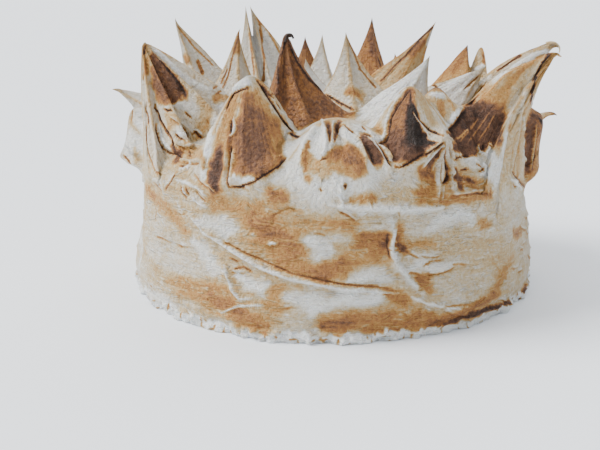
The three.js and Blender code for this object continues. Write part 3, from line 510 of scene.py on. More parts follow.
    (BURNT_AND_SHADE, 0.4, 0.3, ((551, 52.5, 0.9), (541.5, 63, 1.5), (536, 76, 1.8), (532.5, 88, 2), (530.5, 104, 1.7))),
    (0.64, 0.6, -0.7, ((524, 112, 1), (521.5, 135, 1.4), (518, 152, 1.5), (513, 171, 1.2))),
    (0.40, 0.6, 0.3, ((453, 141, 0.6), (461, 136, 0.8), (470, 127, 0.6))),
    (0.52, 0.6, 0.2, ((460, 141, 0.5), (468, 132, 0.7), (478, 119, 0.5))),
    (0.54, 0.6, 0.2, ((468, 142, 0.5), (478, 129, 0.7), (489, 113, 0.5))),
    (0.56, 0.6, 0.2, ((478, 141, 0.5), (487, 128, 0.7), (495, 114, 0.5))),
    # right arc, hooks and lobe
    (0.30, 0.6, 0.0, ((512, 61, 1.6), (526, 51, 3), (540, 45.5, 3), (552, 44.5, 2.4))),
    (DARK, 0.5, 0.0, ((498, 70.5, 0.8), (510, 62.5, 0.9), (519, 55, 1), (531, 46.5, 0.8), (543, 42, 0.7), (554, 43, 0.7))),
    (0.80, 0.6, 0.0, ((511, 61.5, 1), (520, 56, 1.6))),
    (0.10, 0.5, 0.3, ((533, 98, 3), (533, 110, 3.4))),
    (BURNT_AND_SHADE, 0.5, 0.3, ((538, 118, 1), (541, 121, 1.8), (541, 124, 1.2))),
    (0.40, 0.7, 0.0, ((524, 112, 4), (521, 132, 5), (519, 152, 5), (519, 172, 4))),
    (0.74, 0.8, 0.0, ((532, 121, 7), (531, 138, 8), (528, 156, 7), (525, 172, 5))),
    (DARK, 0.5, -0.4, ((538, 127, 0.9), (536, 142, 1.1), (535, 156, 1), (531, 170, 0.9))),
    (0.20, 0.6, 0.4, ((524, 116, 1.6), (524, 134, 2), (522, 152, 1.8))),
    (0.30, 0.8, 0.5, ((536.5, 125, 1.2), (535, 140, 1.6), (533, 156, 1.5), (530, 170, 1.2))),
    (0.72, 0.6, -0.6, ((533, 126, 0.8), (531.5, 142, 1), (529, 158, 0.9))),
    (DARK, 0.5, 0.0, ((540.5, 111, 0.7), (547, 108, 0.8), (553, 109.5, 0.8), (557.5, 115, 0.7))),
    (DARK, 0.5, -0.8, ((512.5, 172, 0.8), (519, 180, 1.1), (525.5, 188, 1.2), (529, 196, 0.9))),
    (WHITE, 0.5, 0.7, ((509, 177, 1), (518, 186, 1.3), (525, 193, 1))),
    # below the right sail: pale laps, curls and a fold whose groove is painted dark as shade
    (0.08, 0.6, 0.0, ((490, 154, 5), (496, 164, 8), (494, 174, 7), (484, 176, 5))),
    (0.30, 0.7, 0.0, ((457, 160, 4), (460, 168, 5), (470, 172, 5), (480, 178, 4))),
    (0.14, 0.7, 0.0, ((463, 162, 3), (468, 162, 4), (473, 166, 5), (480, 162, 5))),
    (0.46, 0.7, 0.0, ((458, 176, 6), (470, 183, 7), (486, 189, 6))),
    (0.74, 0.6, 0.0, ((455, 172, 4), (458, 180, 6), (460, 187, 4))),
    (0.78, 0.5, 0.0, ((455, 147, 4), (465, 150, 6.5), (474, 151, 6))),
    (0.74, 0.5, -0.5, ((458, 176, 1.6), (468, 181, 2), (476, 183, 1.4))),
    (0.52, 0.5, 0.5, ((461, 183, 1.6), (469, 186, 1.9), (478, 189, 1.6))),
    (DARK, 0.5, -0.7, ((455, 160, 0.7), (460, 157, 0.9), (465, 156.3, 0.9), (470, 158, 0.7))),
    (WHITE, 0.4, 1.0, ((467, 158.5, 1), (473, 158.5, 1.3), (476.5, 161.5, 1))),
    (WHITE, 0.4, 1.1, ((478.6, 145, 1), (477.2, 149.5, 1.1), (480.6, 152.5, 1.1), (485.3, 154.5, 1.1), (488, 150, 0.9),
                       (488, 146, 0.8))),
    (BURNT_AND_SHADE, 0.5, -0.9, ((483.3, 144, 1.1), (483.3, 149.5, 1.2))),
    (0.3, 0.5, 0.6, ((488.5, 142.5, 0.6), (492, 146, 0.8), (495, 149.5, 0.6))),
    (DARK, 0.5, -0.6, ((460, 170, 0.8), (464, 169.4, 1.1), (468, 169.3, 0.8))),
    (BURNT_AND_SHADE, 0.5, -0.7, ((476, 164, 0.6), (480.6, 166.5, 0.8), (482, 169.3, 0.8), (478, 172, 0.6))),
    (WHITE, 0.4, 1.0, ((480.6, 163, 0.8), (485, 166.5, 1.1), (484, 171.5, 1.1), (480.6, 174.2, 1), (475, 175.5, 0.8))),
    (0.72, 0.5, -0.8, ((450.5, 195.3, 0.8), (458.5, 196.2, 1), (468.5, 194.4, 1), (482, 193, 1), (491, 194, 0.7))),
    (CREAM, 0.5, 0.9, ((454, 193, 1), (462, 192.5, 1), (474, 190.5, 1), (484, 190, 0.8))),
    (WHITE, 0.5, 0.8, ((436, 204, 0.9), (442, 199, 0.9))),
    (0.66, 0.5, -0.7, ((432.5, 209, 0.8), (436.5, 205, 0.8), (441, 199.5, 0.7))),
    # ribbons that run down and fan out from the junction
    (0.78, 0.6, 0.0, ((427, 167, 4), (434, 157, 5), (441, 149, 3.4))),
    (0.66, 1.0, 0.0, ((424, 172, 7), (431, 177, 7), (432, 187, 5))),
    (0.50, 1.0, 0.0, ((424, 188, 8), (430, 197, 8))),
    (0.62, 0.6, 0.0, ((446, 152, 2.4), (446, 166, 3), (446, 182, 3))),
    (0.44, 0.7, 0.0, ((446, 188, 3.4), (448, 196, 4))),
    (BURNT_AND_SHADE, 0.4, -0.9, ((425, 156, 0.8), (436, 147.5, 1.2), (445, 142, 0.9))),
    (WHITE, 0.4, 1.1, ((422, 168, 1), (432, 155.5, 1.4), (443.5, 144, 1.1))),
    (CREAM, 0.4, 0.9, ((425, 153, 0.9), (435, 145, 1), (444, 140.5, 1))),
    # A cream line along the junction's raised edge: painted highlight.
    (CREAM, 0.4, 0.9, ((443, 139, 1.1), (450, 139, 1.4), (454, 141.5, 1))),
    (0.2, 0.4, 1.4, ((445, 143, 1), (442, 152, 1.6), (438.5, 163, 2), (437.3, 176, 2), (437.8, 186, 1.7), (436, 198, 1.1))),
    (0.5, 0.4, -0.6, ((441.5, 160, 0.6), (440.6, 172, 0.8), (440.8, 182, 0.6))),
    (0.2, 0.4, 1.3, ((448, 145, 1), (447.5, 153, 1.3), (450.5, 162, 1.5), (450.8, 172, 1.5), (449.6, 181, 1.3),
                       (452, 190, 1.3), (457, 195, 1))),
    (CREAM, 0.4, 1.0, ((443.5, 184, 0.9), (442.5, 191, 1.1), (441, 199, 0.8))),
    (BURNT_AND_SHADE, 0.5, -1.0, ((449.4, 148, 1), (450.2, 157, 1.1))),
    (BURNT_AND_SHADE, 0.5, -1.0, ((444.8, 155, 0.8), (445.8, 163, 1.4), (446, 170, 1.3))),
    (BURNT_AND_SHADE, 0.5, -1.0, ((447, 173, 1), (446.6, 180, 1.6), (442.6, 184, 0.9))),
    # left sail: face, edges and folds
    (0.67, 0.5, 0.0, ((152, 57, 3), (155, 69, 6), (158, 81, 8), (162, 92, 10), (166, 98, 8))),
    (0.73, 0.5, 0.0, ((153, 58, 3), (159, 70, 8), (164, 82, 11), (169, 92, 13), (174, 96, 10))),
    (0.52, 0.7, 0.0, ((146, 62, 4), (144, 78, 3))),
    (WHITE, 0.5, 0.5, ((150, 47, 3), (165, 58, 2.6), (180, 74, 2.6), (200, 87, 3), (213, 90, 2.5))),
    (BURNT_AND_SHADE, 0.4, -0.6, ((153, 52, 1), (165, 66, 1.3), (176, 79, 1.7), (184, 92, 2.2), (187, 98, 2.2))),
    (DARK, 0.5, 0.0, ((145, 47, 1), (144, 53, 1.6))),
    (0.12, 0.6, 0.0, ((180, 106, 4), (190, 106, 6), (194, 112, 5))),
    (0.40, 0.7, 0.0, ((166, 114, 3), (172, 119, 6), (170, 127, 4))),
    (0.36, 0.8, 0.0, ((204, 98, 7), (208, 110, 8), (204, 124, 7), (194, 140, 7))),
    (0.40, 0.8, 0.0, ((186, 146, 6), (196, 156, 7), (190, 166, 6), (180, 166, 5))),
    (0.34, 0.8, 0.0, ((180, 178, 7), (196, 186, 7), (206, 192, 6))),
    (0.20, 0.7, 0.0, ((153, 133, 3), (156, 148, 5), (161, 163, 5))),
    (0.42, 0.8, 0.0, ((188, 148, 6), (200, 150, 6), (203, 164, 4))),
    (0.66, 0.7, 0.0, ((173, 147, 3), (179, 154, 5), (176, 162, 5))),
    (DARK, 0.4, -0.8, ((146.8, 102, 1), (146.4, 110, 1.3), (148.2, 117, 1.4), (148.6, 124, 1.2))),
    (0.72, 0.4, -0.8, ((147.5, 127, 0.8), (146.2, 135, 0.8), (147, 147, 0.9), (150, 159.5, 0.9), (154, 169.5, 1), (161, 175.5, 0.9))),
    (DARK, 0.4, -1.0, ((155, 104, 0.9), (156.7, 112, 1.2), (159.5, 121, 1.4), (165, 130, 1.5), (171, 138.5, 1.4), (176, 151, 1))),
    (DARK, 0.4, -0.8, ((156, 124, 0.7), (156.8, 132, 0.9), (159.8, 142, 0.9), (164, 149.5, 0.9), (170, 153, 1), (177, 154, 1),
                       (183, 159, 0.8))),
    (WHITE, 0.4, 1.1, ((158, 124, 1), (161, 136, 1.5), (167, 145, 1.7), (174, 151.5, 1.3))),
    (WHITE, 0.5, 0.8, ((164.5, 107.5, 1), (173, 106.5, 1.2), (182, 103.5, 1.2))),
    (BURNT_AND_SHADE, 0.5, -0.7, ((163, 108.5, 0.8), (167, 110.8, 1.1), (172, 110.4, 0.8))),
    (DARK, 0.5, -0.6, ((185, 112, 0.7), (188, 115, 0.9), (191.5, 118, 0.9))),
    (WHITE, 0.4, 0.9, ((178, 130, 1.6), (181, 133.5, 2), (184, 136, 1.5))),
    (CREAM, 0.5, 0.9, ((170, 116, 0.8), (180, 122, 1.2), (190, 131, 1.2), (195, 137, 0.8))),
    (0.62, 0.5, -0.7, ((171, 118, 0.7), (179, 124.5, 0.9), (186, 131, 0.7))),
    (CREAM, 0.5, 0.9, ((176, 143, 0.9), (185, 146, 1.2), (194, 145, 1.2), (203, 150, 0.9))),
    (0.62, 0.5, -0.7, ((178, 145.5, 0.7), (186, 148.5, 0.9), (195, 148, 0.7))),
    (CREAM, 0.5, 0.9, ((180, 160, 0.9), (190, 162, 1.2), (200, 160, 1.2), (205, 166, 0.9))),
    (0.60, 0.5, -0.7, ((184, 163, 0.7), (192, 164.5, 0.9), (199, 163, 0.7))),
    (CREAM, 0.5, 0.8, ((196, 172, 0.9), (202, 180, 1.2), (210, 186, 1.2), (216, 192, 0.9))),
    (0.60, 0.5, -0.6, ((194, 174, 0.7), (200, 182, 0.9), (208, 189, 0.7))),
    (BURNT_AND_SHADE, 0.5, -0.8, ((175, 134, 0.7), (179, 137.8, 0.9), (184, 140, 1), (187.5, 137.5, 1), (186, 133.5, 0.8), (183, 130, 0.6))),
    (DARK, 0.5, -0.8, ((192, 134.5, 0.7), (195.5, 131.3, 0.9), (199, 136, 0.9), (206, 139.5, 0.9))),
    (WHITE, 0.5, 0.8, ((193, 130, 0.8), (198, 130.5, 1), (203, 135, 0.9))),
    (BURNT_AND_SHADE, 0.5, -0.7, ((189.8, 151.5, 0.9), (191, 157, 1))),
    (BURNT_AND_SHADE, 0.6, -0.6, ((207, 121, 0.8), (208.5, 123, 0.8))),
    (WHITE, 0.5, 0.9, ((180, 169, 0.9), (185, 170, 1.1), (191, 167, 1.1), (192, 162, 0.8))),
    (DARK, 0.5, -0.7, ((181, 166, 0.7), (185, 168, 0.8))),
    (0.36, 0.8, 0.0, ((135, 150, 3.6), (139, 161, 4))),
    (DARK, 0.5, -0.5, ((123.5, 155, 0.7), (128, 160.5, 0.9), (131, 164, 0.7))),
    (0.6, 0.5, -0.5, ((117, 91, 0.9), (126, 100, 1.1), (132.5, 108, 1.1), (131, 122, 0.9))),
    (DARK, 0.5, -0.8, ((180, 187, 0.7), (183, 192.5, 1), (187.5, 197.5, 0.9))),
    (DARK, 0.5, -0.7, ((186, 188, 0.6), (190, 194.5, 0.8))),
    (WHITE, 0.5, 0.8, ((183, 187, 0.8), (187.5, 194, 0.9))),
    (0.66, 0.5, -0.7, ((196, 191, 0.7), (200, 197, 0.9), (206, 202, 0.8))),
    (WHITE, 0.5, 0.9, ((176, 180, 1.2), (188, 183, 1.4), (199, 188, 1.4), (207, 197, 1.2))),
    (WHITE, 0.5, 0.8, ((193, 197, 1), (200, 203, 1.2), (208, 207, 1))),
    # back left and middle left peaks, twins
    (0.50, 0.7, 0.0, ((185, 58, 4), (188, 66, 4))),
    (0.62, 0.6, 0.0, ((198, 61, 1.6), (204, 77, 2))),
    (0.55, 0.6, 0.0, ((178, 27, 0.8), (195, 48, 0.9), (213, 65, 0.8))),
    (0.50, 0.7, 0.0, ((240, 36, 2), (237, 50, 4))),
    (BROWN, 0.5, 0.0, ((240, 30, 0.8), (237, 42, 0.9), (232, 58, 0.9), (228, 76, 1), (221, 91, 1.1), (215, 95, 0.9))),
    (BROWN, 0.5, 0.0, ((227, 70, 0.7), (221, 83, 0.9), (213, 89, 0.9))),
    (0.50, 0.7, 0.0, ((217, 99, 5), (228, 98, 5))),
    (0.58, 0.6, 0.0, ((249, 16, 1.2), (251, 48, 1.8), (254, 74, 1.8))),
    (0.60, 0.6, 0.0, ((259, 18, 1.2), (264, 58, 1.8), (263, 84, 1.8))),
    (0.5, 0.6, 0.0, ((262, 18, 0.9), (270, 34, 1), (279, 52, 1.1))),
    (BROWN, 0.5, 0.0, ((265, 87, 0.8), (270, 95, 0.9), (276, 92, 0.9), (279, 83, 0.8))),
    # peaks of the middle and the back right
    (0.56, 0.7, 0.0, ((348, 92, 5), (358, 94, 6))),
    (BROWN, 0.5, 0.0, ((349, 40, 0.8), (360, 69, 1), (375, 87, 1.2))),
    (0.70, 0.7, 0.0, ((372, 34, 3), (372, 50, 7))),
    (DARK, 0.6, 0.0, ((378, 58, 1.5), (380, 64, 2))),
    (0.62, 0.6, 0.0, ((424, 42, 3), (412, 52, 5))),
    (DARK, 0.5, 0.0, ((434, 26, 0.8), (420, 39, 1), (406, 55, 1.1), (394, 66, 1.2), (381, 81, 1))),
    (0.12, 0.6, 0.0, ((434, 32, 2), (430, 46, 3))),
    (0.58, 0.7, 0.0, ((466, 50, 2.4), (460, 62, 4.4), (453, 71, 4.4))),
    (0.30, 0.7, 0.0, ((477, 50, 3), (480, 60, 3.6))),
    (DARK, 0.6, 0.0, ((467.5, 42, 0.8), (468.5, 49, 1.2), (471, 58, 0.9))),
    (BROWN, 0.6, 0.0, ((483, 55, 0.9), (484, 63, 1.3))),
    # knife lap, upright seam and small folds of the wall
    (WHITE, 0.5, 0.9, ((190, 214, 1), (204, 232, 1.4), (218, 243, 1.6), (239, 255, 1.9), (260, 268, 1.9), (290, 279, 1.8),
                       (340, 289, 1.6), (398, 293, 1.3))),
    # The dark line along the lap is painted shadow, sunk in a groove.
    (BROWN, 0.5, -0.9, ((222, 241, 0.6), (240, 251, 0.8), (270, 264, 1), (292, 274, 1), (340, 284, 0.9), (392, 288.5, 0.8))),
    (WHITE, 0.5, 1.3, ((389, 214, 1.8), (394, 233, 2.4), (391, 250, 2.2), (399, 266, 3), (411, 282, 3.2), (424, 294, 1.8))),
    # Painted shade beside the upright seam, sunk in a groove.
    (DARK, 0.5, -0.7, ((388, 234, 0.7), (387, 246, 0.8), (390, 258, 0.7))),
    (WHITE, 0.6, 0.8, ((411, 297, 1.2), (425, 303, 1.4), (439, 306, 1.4), (460, 309, 1))),
    (WHITE, 0.6, 1.0, ((330, 205, 2), (352, 207, 2.4), (380, 208, 2.6), (410, 209, 2.4), (444, 208, 1.8))),
    (0.10, 0.4, 0.7, ((426, 268, 3), (438, 266, 4.5), (450, 266, 3.5))),
    (0.55, 0.5, -0.5, ((423, 266, 0.6), (432, 261, 0.7), (442, 260, 0.6))),
    (0.55, 0.5, -0.5, ((425, 273, 0.6), (437, 275, 0.7), (450, 271, 0.6), (455, 267, 0.6))),
    (WHITE, 0.5, 0.6, ((224, 265, 1), (231, 290, 1.2), (239, 299, 1.1), (252, 299, 0.9))),
    (WHITE, 0.5, 0.5, ((221, 313, 0.9), (238, 306, 1), (262, 305, 0.8))),
    (BROWN, 0.5, -0.4, ((230, 258, 0.7), (238, 262, 0.9))),
    (BROWN, 0.5, -0.4, ((234, 269, 0.7), (244, 267, 0.9), (252, 272, 0.8))),
    (0.6, 0.5, -0.5, ((273, 225, 0.7), (274, 215, 0.8), (281, 211, 0.7), (290, 208, 0.9), (297, 211, 0.8))),
    (WHITE, 0.5, 0.6, ((269, 243, 1.4), (277, 243, 1.6))),
    (0.6, 0.5, -0.4, ((266, 247, 0.6), (273, 247, 0.7), (280, 245, 0.6))),
    (DARK, 0.5, -0.5, ((154, 204, 0.7), (156, 220, 0.7))),
    (WHITE, 0.5, 0.7, ((334, 180, 1), (341, 190, 1.2), (345, 200, 1))),
    (DARK, 0.5, -0.5, ((344, 184, 0.8), (345, 189, 0.8))),
    (0.5, 0.5, -0.4, ((443, 307, 0.6), (465, 305, 0.7), (483, 301, 0.6))),
)


# Folds too many to place one by one: count, way down the outline, lengths, slopes and bow in degrees, height, width,
# tone of the groove's painted shade
FOLDS = (
    (150, (CROWN_EDGE - 38, CROWN_EDGE + 4), (4, 11), (-70, 70), 110, 0.9, 0.9, 0.72),
    (70, (20, CROWN_EDGE - 30), (4, 12), (-90, 90), 120, 0.8, 0.9, 0.6),
    (120, (CROWN_EDGE + 2, DISC_EDGE - 6), (4, 14), (-8, 40), 60, 0.55, 0.8, 0.58),
)
FOLD_SEED, FOLD_STEPS, FOLD_RISE = 7, 7, 0.3


class Camera:
    """The photograph's camera: turns pixels into rays and places into pixels, in millimetres."""

    place = np.array(CAMERA_PLACE) / MM
    down, turn = math.radians(CAMERA_DOWN), math.radians(CAMERA_TURN)
    ahead = np.array([-math.sin(turn) * math.cos(down), math.cos(turn) * math.cos(down), -math.sin(down)])
    right = np.array([math.cos(turn), math.sin(turn), 0])
    up = np.cross(right, ahead)

    @classmethod
    def ray(cls, across, below):
        shift = np.array([across - PHOTO_SIZE[0] / 2, PHOTO_SIZE[1] / 2 - below]) / PHOTO_FOCUS
        return cls.ahead + shift[0] * cls.right + shift[1] * cls.up

    @classmethod
    def project(cls, spots):
        offset = spots - cls.place
        depth = offset @ cls.ahead
        across = PHOTO_SIZE[0] / 2 + PHOTO_FOCUS * (offset @ cls.right) / depth
        below = PHOTO_SIZE[1] / 2 - PHOTO_FOCUS * (offset @ cls.up) / depth
        return np.column_stack([across, below, depth])


# Curls too thin for the source, drawn out of tips: the peak each leaves, its tone, and its points as for strokes
CURLS = (
    ("hook", BURNT_AND_SHADE, ((285.3, 42, 1.5), (285.9, 38.5, 1.4), (287.2, 35.5, 1.3), (289.5, 34, 1.3),
                     (292, 35.3, 1.3), (293.5, 38.5, 1.0))),
    ("right arc", 0.3, ((546, 43.5, 1.6), (551, 42.3, 1.5), (555.5, 43, 1.3), (559, 46, 1.0), (560, 50, 0.7), (559, 53, 0.4))),
    ("right sail", 0.5, ((549, 54.3, 1.4), (553, 53.3, 1.3), (557, 54, 1.1), (559.5, 56, 0.9), (561.5, 56.3, 0.5))),
)
CURL_SIDES = 8


class Canvas:
    """A rough mesh of the coat that strokes are laid on, to find which points of the disc they cross."""

    STEP = 4.0
    JUMP = 9.0
    MISS = 4.0

    def __init__(self, points, faces):
        self.points, self.faces = points, faces
        self.plain = drawn_up(points)[0]
        high = crease_relief(points, surface(points))
        self.spots = self.plain + mesh_normals(self.plain, faces) * high[:, None]
        self.tree = BVHTree.FromPolygons(self.spots.tolist(), faces.tolist())
        self.seen = Camera.project(self.spots)

    def hit(self, across, below):
        """Point of the disc under a pixel, with its place before and after the creases; off the edge, the closest."""
        spot, _, index, _ = self.tree.ray_cast(Vector(Camera.place), Vector(Camera.ray(across, below)))
        if index is None:
            gap = np.hypot(self.seen[:, 0] - across, self.seen[:, 1] - below)
            cost = np.where(gap > self.MISS, np.inf, gap + 0.01 * self.seen[:, 2])
            best = int(cost.argmin())
            return (self.points[best], self.plain[best], self.spots[best]) if np.isfinite(cost[best]) else None
        corners = self.faces[index]
        here = [Vector(self.spots[k]) for k in corners]
        flat = geometry.barycentric_transform(spot, *here, *(Vector((*self.points[k], 0)) for k in corners))
        plain = geometry.barycentric_transform(spot, *here, *(Vector(self.plain[k]) for k in corners))
        return np.array(flat)[:2], np.array(plain), np.array(spot)

    def lay(self, line):
        """A stroke's points of the disc with half widths in millimetres, broken where it jumps to another surface."""
        runs, run = [], []
        for (u0, v0, w0), (u1, v1, w1) in zip(line, line[1:]):
            count = max(1, round(math.hypot(u1 - u0, v1 - v0) / self.STEP))
            for k in range(1 if run or runs else 0, count + 1):
                t = k / count
                found = self.hit(u0 + t * (u1 - u0), v0 + t * (v1 - v0))
                if found is None:
                    continue
                point, plain, spot = found
                depth = (spot - Camera.place) @ Camera.ahead
                if run and np.linalg.norm(plain - run[-1][1]) > self.JUMP:
                    runs.append(run)
                    run = []
                run.append((point, plain, (w0 + t * (w1 - w0)) * depth / PHOTO_FOCUS))
        runs.append(run)
        return [run for run in runs if len(run) > 1]


def noise(spots, size, seed=0):
    """Smooth noise from -1 to 1, with features about size across."""
    cells = spots / size + 31.7 * seed
    low = np.floor(cells).astype(np.int64)
    part = ease(cells - low)
    total = np.zeros(len(spots))
    for corner in product((0, 1), repeat=3):
        x, y, z = (low + corner).T
        mixed = (x * 374761393 + y * 668265263 + z * 2147483647 + seed * 1274126177) & 0xFFFFFFFF
        mixed = ((mixed ^ (mixed >> 13)) * 1274126177) & 0xFFFFFFFF
        value = ((mixed ^ (mixed >> 16)) & 0xFFFF) / 32767.5 - 1
        total += value * np.prod(np.where(corner, part, 1 - part), axis=1)
    return total


def ridge_lines():
    """Lines of the disc along every ridge of every peak, dense toward the tip."""
    shares = np.array([0, 0.03, 0.08, 0.16, 0.28, 0.42, 0.58, 0.76, 0.96])
    lines = []
    for peak in PEAKS:
        for at, reach, _ in peak["ridges"]:
            turn = math.radians(at)
            lines.append(peak["centre"] + reach * shares[:, None] * np.array([math.cos(turn), math.sin(turn)]))
    return lines


def open_points(spacing):
    """Points that fill the disc in rings, and a few rings round each peak's middle."""
    rows = [np.zeros((1, 2))]
    for down in np.arange(spacing, DISC_EDGE - spacing * 0.4, spacing):
        count = round(TURN * down / spacing)
        rows.append(on_disc((np.arange(count) + 0.3 * down % 1) / count * 360, down))
    for peak in PEAKS:
        for ring in (1.2, 3.0, 6.0):
            rows.append(peak["centre"] + on_disc(np.arange(10) * 36.0 + 5 * ring, ring))
    return np.vstack(rows)


def triangulate(lines, spacing):
    """Triangles over the disc whose edges follow the lines."""
    foot = on_disc(np.arange(FOOT_POINTS) / FOOT_POINTS * 360, DISC_EDGE)
    points, edges = [foot], [(k, (k + 1) % FOOT_POINTS) for k in range(FOOT_POINTS)]
    count = FOOT_POINTS
    for line in lines:
        line = line[np.hypot(line[:, 0], line[:, 1]) < DISC_EDGE - 1]
        points.append(line)
        edges += [(count + k, count + k + 1) for k in range(len(line) - 1)]
        count += len(line)
    kept = np.vstack(points)
    fill = open_points(spacing)
    gap = np.array([np.hypot(*(kept - point).T).min() for point in fill])
    points = np.vstack([kept, fill[gap > 1.0]])
    corners, _, faces, *_ = geometry.delaunay_2d_cdt([Vector(p) for p in points], edges, [], 0, 1e-3)
    return np.array(corners), np.array([face for face in faces if len(face) == 3])


def edge_table(faces):
    """Each edge once, and for every triangle the numbers of its three edges."""
    sides = np.stack([faces[:, [0, 1]], faces[:, [1, 2]], faces[:, [2, 0]]], 1)
    edges, back = np.unique(np.sort(sides.reshape(-1, 2), 1), axis=0, return_inverse=True)
    return edges, back.reshape(-1, 3)


def split(faces, middles):
    """Triangles cut at the middles of their long edges, in two, three or four."""
    count = (middles >= 0).sum(1)
    made = [faces[count == 0]]
    f, m = faces[count == 1], middles[count == 1]
    turn = (m.argmax(1)[:, None] + np.arange(3)) % 3
    f, m = np.take_along_axis(f, turn, 1), m.max(1)
    made += [np.column_stack([f[:, 0], m, f[:, 2]]), np.column_stack([m, f[:, 1], f[:, 2]])]
    f, m = faces[count == 2], middles[count == 2]
    turn = (m.argmin(1)[:, None] + np.arange(3)) % 3
    f, m = np.take_along_axis(f, turn, 1), np.take_along_axis(m, turn, 1)
    made += [np.column_stack([f[:, 2], m[:, 2], m[:, 1]]), np.column_stack([f[:, 0], f[:, 1], m[:, 1]]),
             np.column_stack([f[:, 0], m[:, 1], m[:, 2]])]
    f, m = faces[count == 3], middles[count == 3]
    made += [np.column_stack([f[:, 0], m[:, 0], m[:, 2]]), np.column_stack([m[:, 0], f[:, 1], m[:, 1]]),
             np.column_stack([m[:, 2], m[:, 1], f[:, 2]]), m]
    return np.vstack(made)


def refine(points, faces, limit, rounds=8):
    """Splits edges until none is longer, in space, than the limit of its place."""
    for _ in range(rounds):
        spots, lead = drawn_up(points)
        edges, back = edge_table(faces)
        length = np.linalg.norm(spots[edges[:, 0]] - spots[edges[:, 1]], axis=1)
        long = length > limit(spots, lead)[edges].min(1)
        if not long.any():
            break
        for _ in range(3):
            longest = back[np.arange(len(back)), length[back].argmax(1)]
            long[longest[long[back].any(1)]] = True
        number = np.full(len(edges), -1)
        number[long] = len(points) + np.arange(long.sum())
        points = np.vstack([points, points[edges[long]].mean(1)])
        faces = split(faces, number[back])
    return points, faces


def edge_limit(strokes):
    """How long an edge may be at each place: short along lines and near tips."""
    line_spots = [spot for stroke in strokes if stroke["fine"] for run in stroke["runs"] for _, spot, _ in run]
    tree = KDTree(len(line_spots))
    for number, spot in enumerate(line_spots):
        tree.insert(spot, number)
    tree.balance()
    coarser = 1.0

    def limit(spots, lead):
        gap = np.array([tree.find(spot)[2] for spot in spots.tolist()])
        near_line = LINE_EDGE + (OPEN_EDGE - LINE_EDGE) * ease((gap - 1.2) / 2.0)
        near_tip = OPEN_EDGE + (TIP_EDGE - OPEN_EDGE) * ease((lead["rise"] - 0.3) / 0.4)
        near_foot = np.where(spots[:, 2] < FOOT_BAND + 1.5, FOOT_EDGE, OPEN_EDGE)
        return coarser * np.minimum(np.minimum(near_line, near_tip), near_foot)

    return limit


def mesh_normals(spots, faces):
    a, b, c = (spots[faces[:, k]] for k in range(3))
    face_normals = np.cross(b - a, c - a)
    normals = np.zeros_like(spots)
    for k in range(3):
        np.add.at(normals, faces[:, k], face_normals)
    return normals / np.maximum(np.linalg.norm(normals, axis=1), 1e-12)[:, None]


def flows(points, spots, lead):
    """Coordinates for streaks: along the pull of each peak, and along the spatula's way round the wall."""
    turn = np.arctan2(points[:, 1], points[:, 0])
    down = np.hypot(points[:, 0], points[:, 1])
    bearing, index = lead["bearing"], lead["peak"]
    pulled = np.column_stack([4 * np.cos(bearing), 4 * np.sin(bearing), 0.05 * lead["distance"] + 7.3 * index])
    round_wall = np.column_stack([8 * np.cos(turn), 8 * np.sin(turn), down / 1.6])
    return pulled, round_wall


def relief(points, spots, lead, pulled, round_wall):
    """How high the coat stands at each point: creases, streaks of the pull, smears round the wall, crumbs."""
    high = crease_relief(points, surface(points))
    rise = lead["rise"]
    on_peak = ease((rise - 0.05) / 0.15) * (1 - ease((rise - 0.45) / 0.4))
    streaks = noise(pulled, 0.9, 1) + 0.6 * noise(pulled, 0.45, 2)
    high += 0.6 * on_peak * streaks
    on_wall = 1 - ease(rise / 0.2)
    smears = noise(round_wall * [1, 1, 0.5], 1.0, 3)
    edges = 1 - np.abs(noise(round_wall * [0.7, 0.7, 0.35], 1.0, 4)) * 2
    high += on_wall * (0.5 * smears + 0.6 * np.clip(edges, 0, 1) + 0.6 * noise(spots, 11.0, 5))
    high += (1 - ease((rise - 0.5) / 0.3)) * 0.16 * noise(spots, 1.8, 6)
    swells = np.array([peak["swell"] for peak in PEAKS] + [0])[lead["peak"]]
    high += swells * ease((rise - 0.8) / 0.1)
    crumbs = np.clip((FOOT_BAND - spots[:, 2]) / 2, 0, 1)
    high += crumbs * (0.8 + 1.7 * noise(spots, 3.6, 7) + 1.2 * noise(spots, 1.9, 8))
    return high


def base_tone(spots, lead):
    """Tone before the strokes: each peak's own, blotches where the camera doesn't see, near white elsewhere."""
    turn = np.degrees(np.arctan2(spots[:, 1], spots[:, 0]))
    hidden = ease((turn + 8) / 16) * (1 - ease((turn - 168) / 10))
    blotches = noise(spots * [1, 1, 1.6], 26.0, 9) + 0.5 * noise(spots * [1, 1, 1.6], 11.0, 10)
    wall = 0.25 + 0.07 * noise(spots * [1, 1, 1.6], 18.0, 11) + 0.04 * noise(spots, 5.0, 14)
    wall = wall + hidden * (np.clip(blotches + 0.05, 0, 1) * 0.62 - 0.06)
    own = np.array([peak["tone"] for peak in PEAKS] + [0.1])[lead["peak"]]
    rise = lead["rise"]
    turned = off_bearing(lead["bearing"], 90)
    behind = ease((100 - turned) / 60)
    own = own + behind * (0.08 + 0.38 * noise(spots, 16.0, 12))
    tone = wall + (own - wall) * ease((rise - 0.04) / 0.18)
    return tone + 0.15 * ease((rise - 0.7) / 0.3)


def ridge_tone(tone, lead):
    """A thin scorched line along every ridge that no stroke covers."""
    for index, peak in enumerate(PEAKS):
        near = np.flatnonzero(lead["peak"] == index)
        for at, reach, _ in peak["ridges"]:
            aside = np.radians(off_bearing(lead["bearing"][near], at)) * lead["distance"][near]
            share = lead["distance"][near] / reach
            line = np.exp(-(aside / 0.9) ** 2) * ease(share / 0.1) * (1 - ease((share - 0.5) / 0.3))
            tone[near] += (0.7 - tone[near]) * 0.32 * line
    return tone


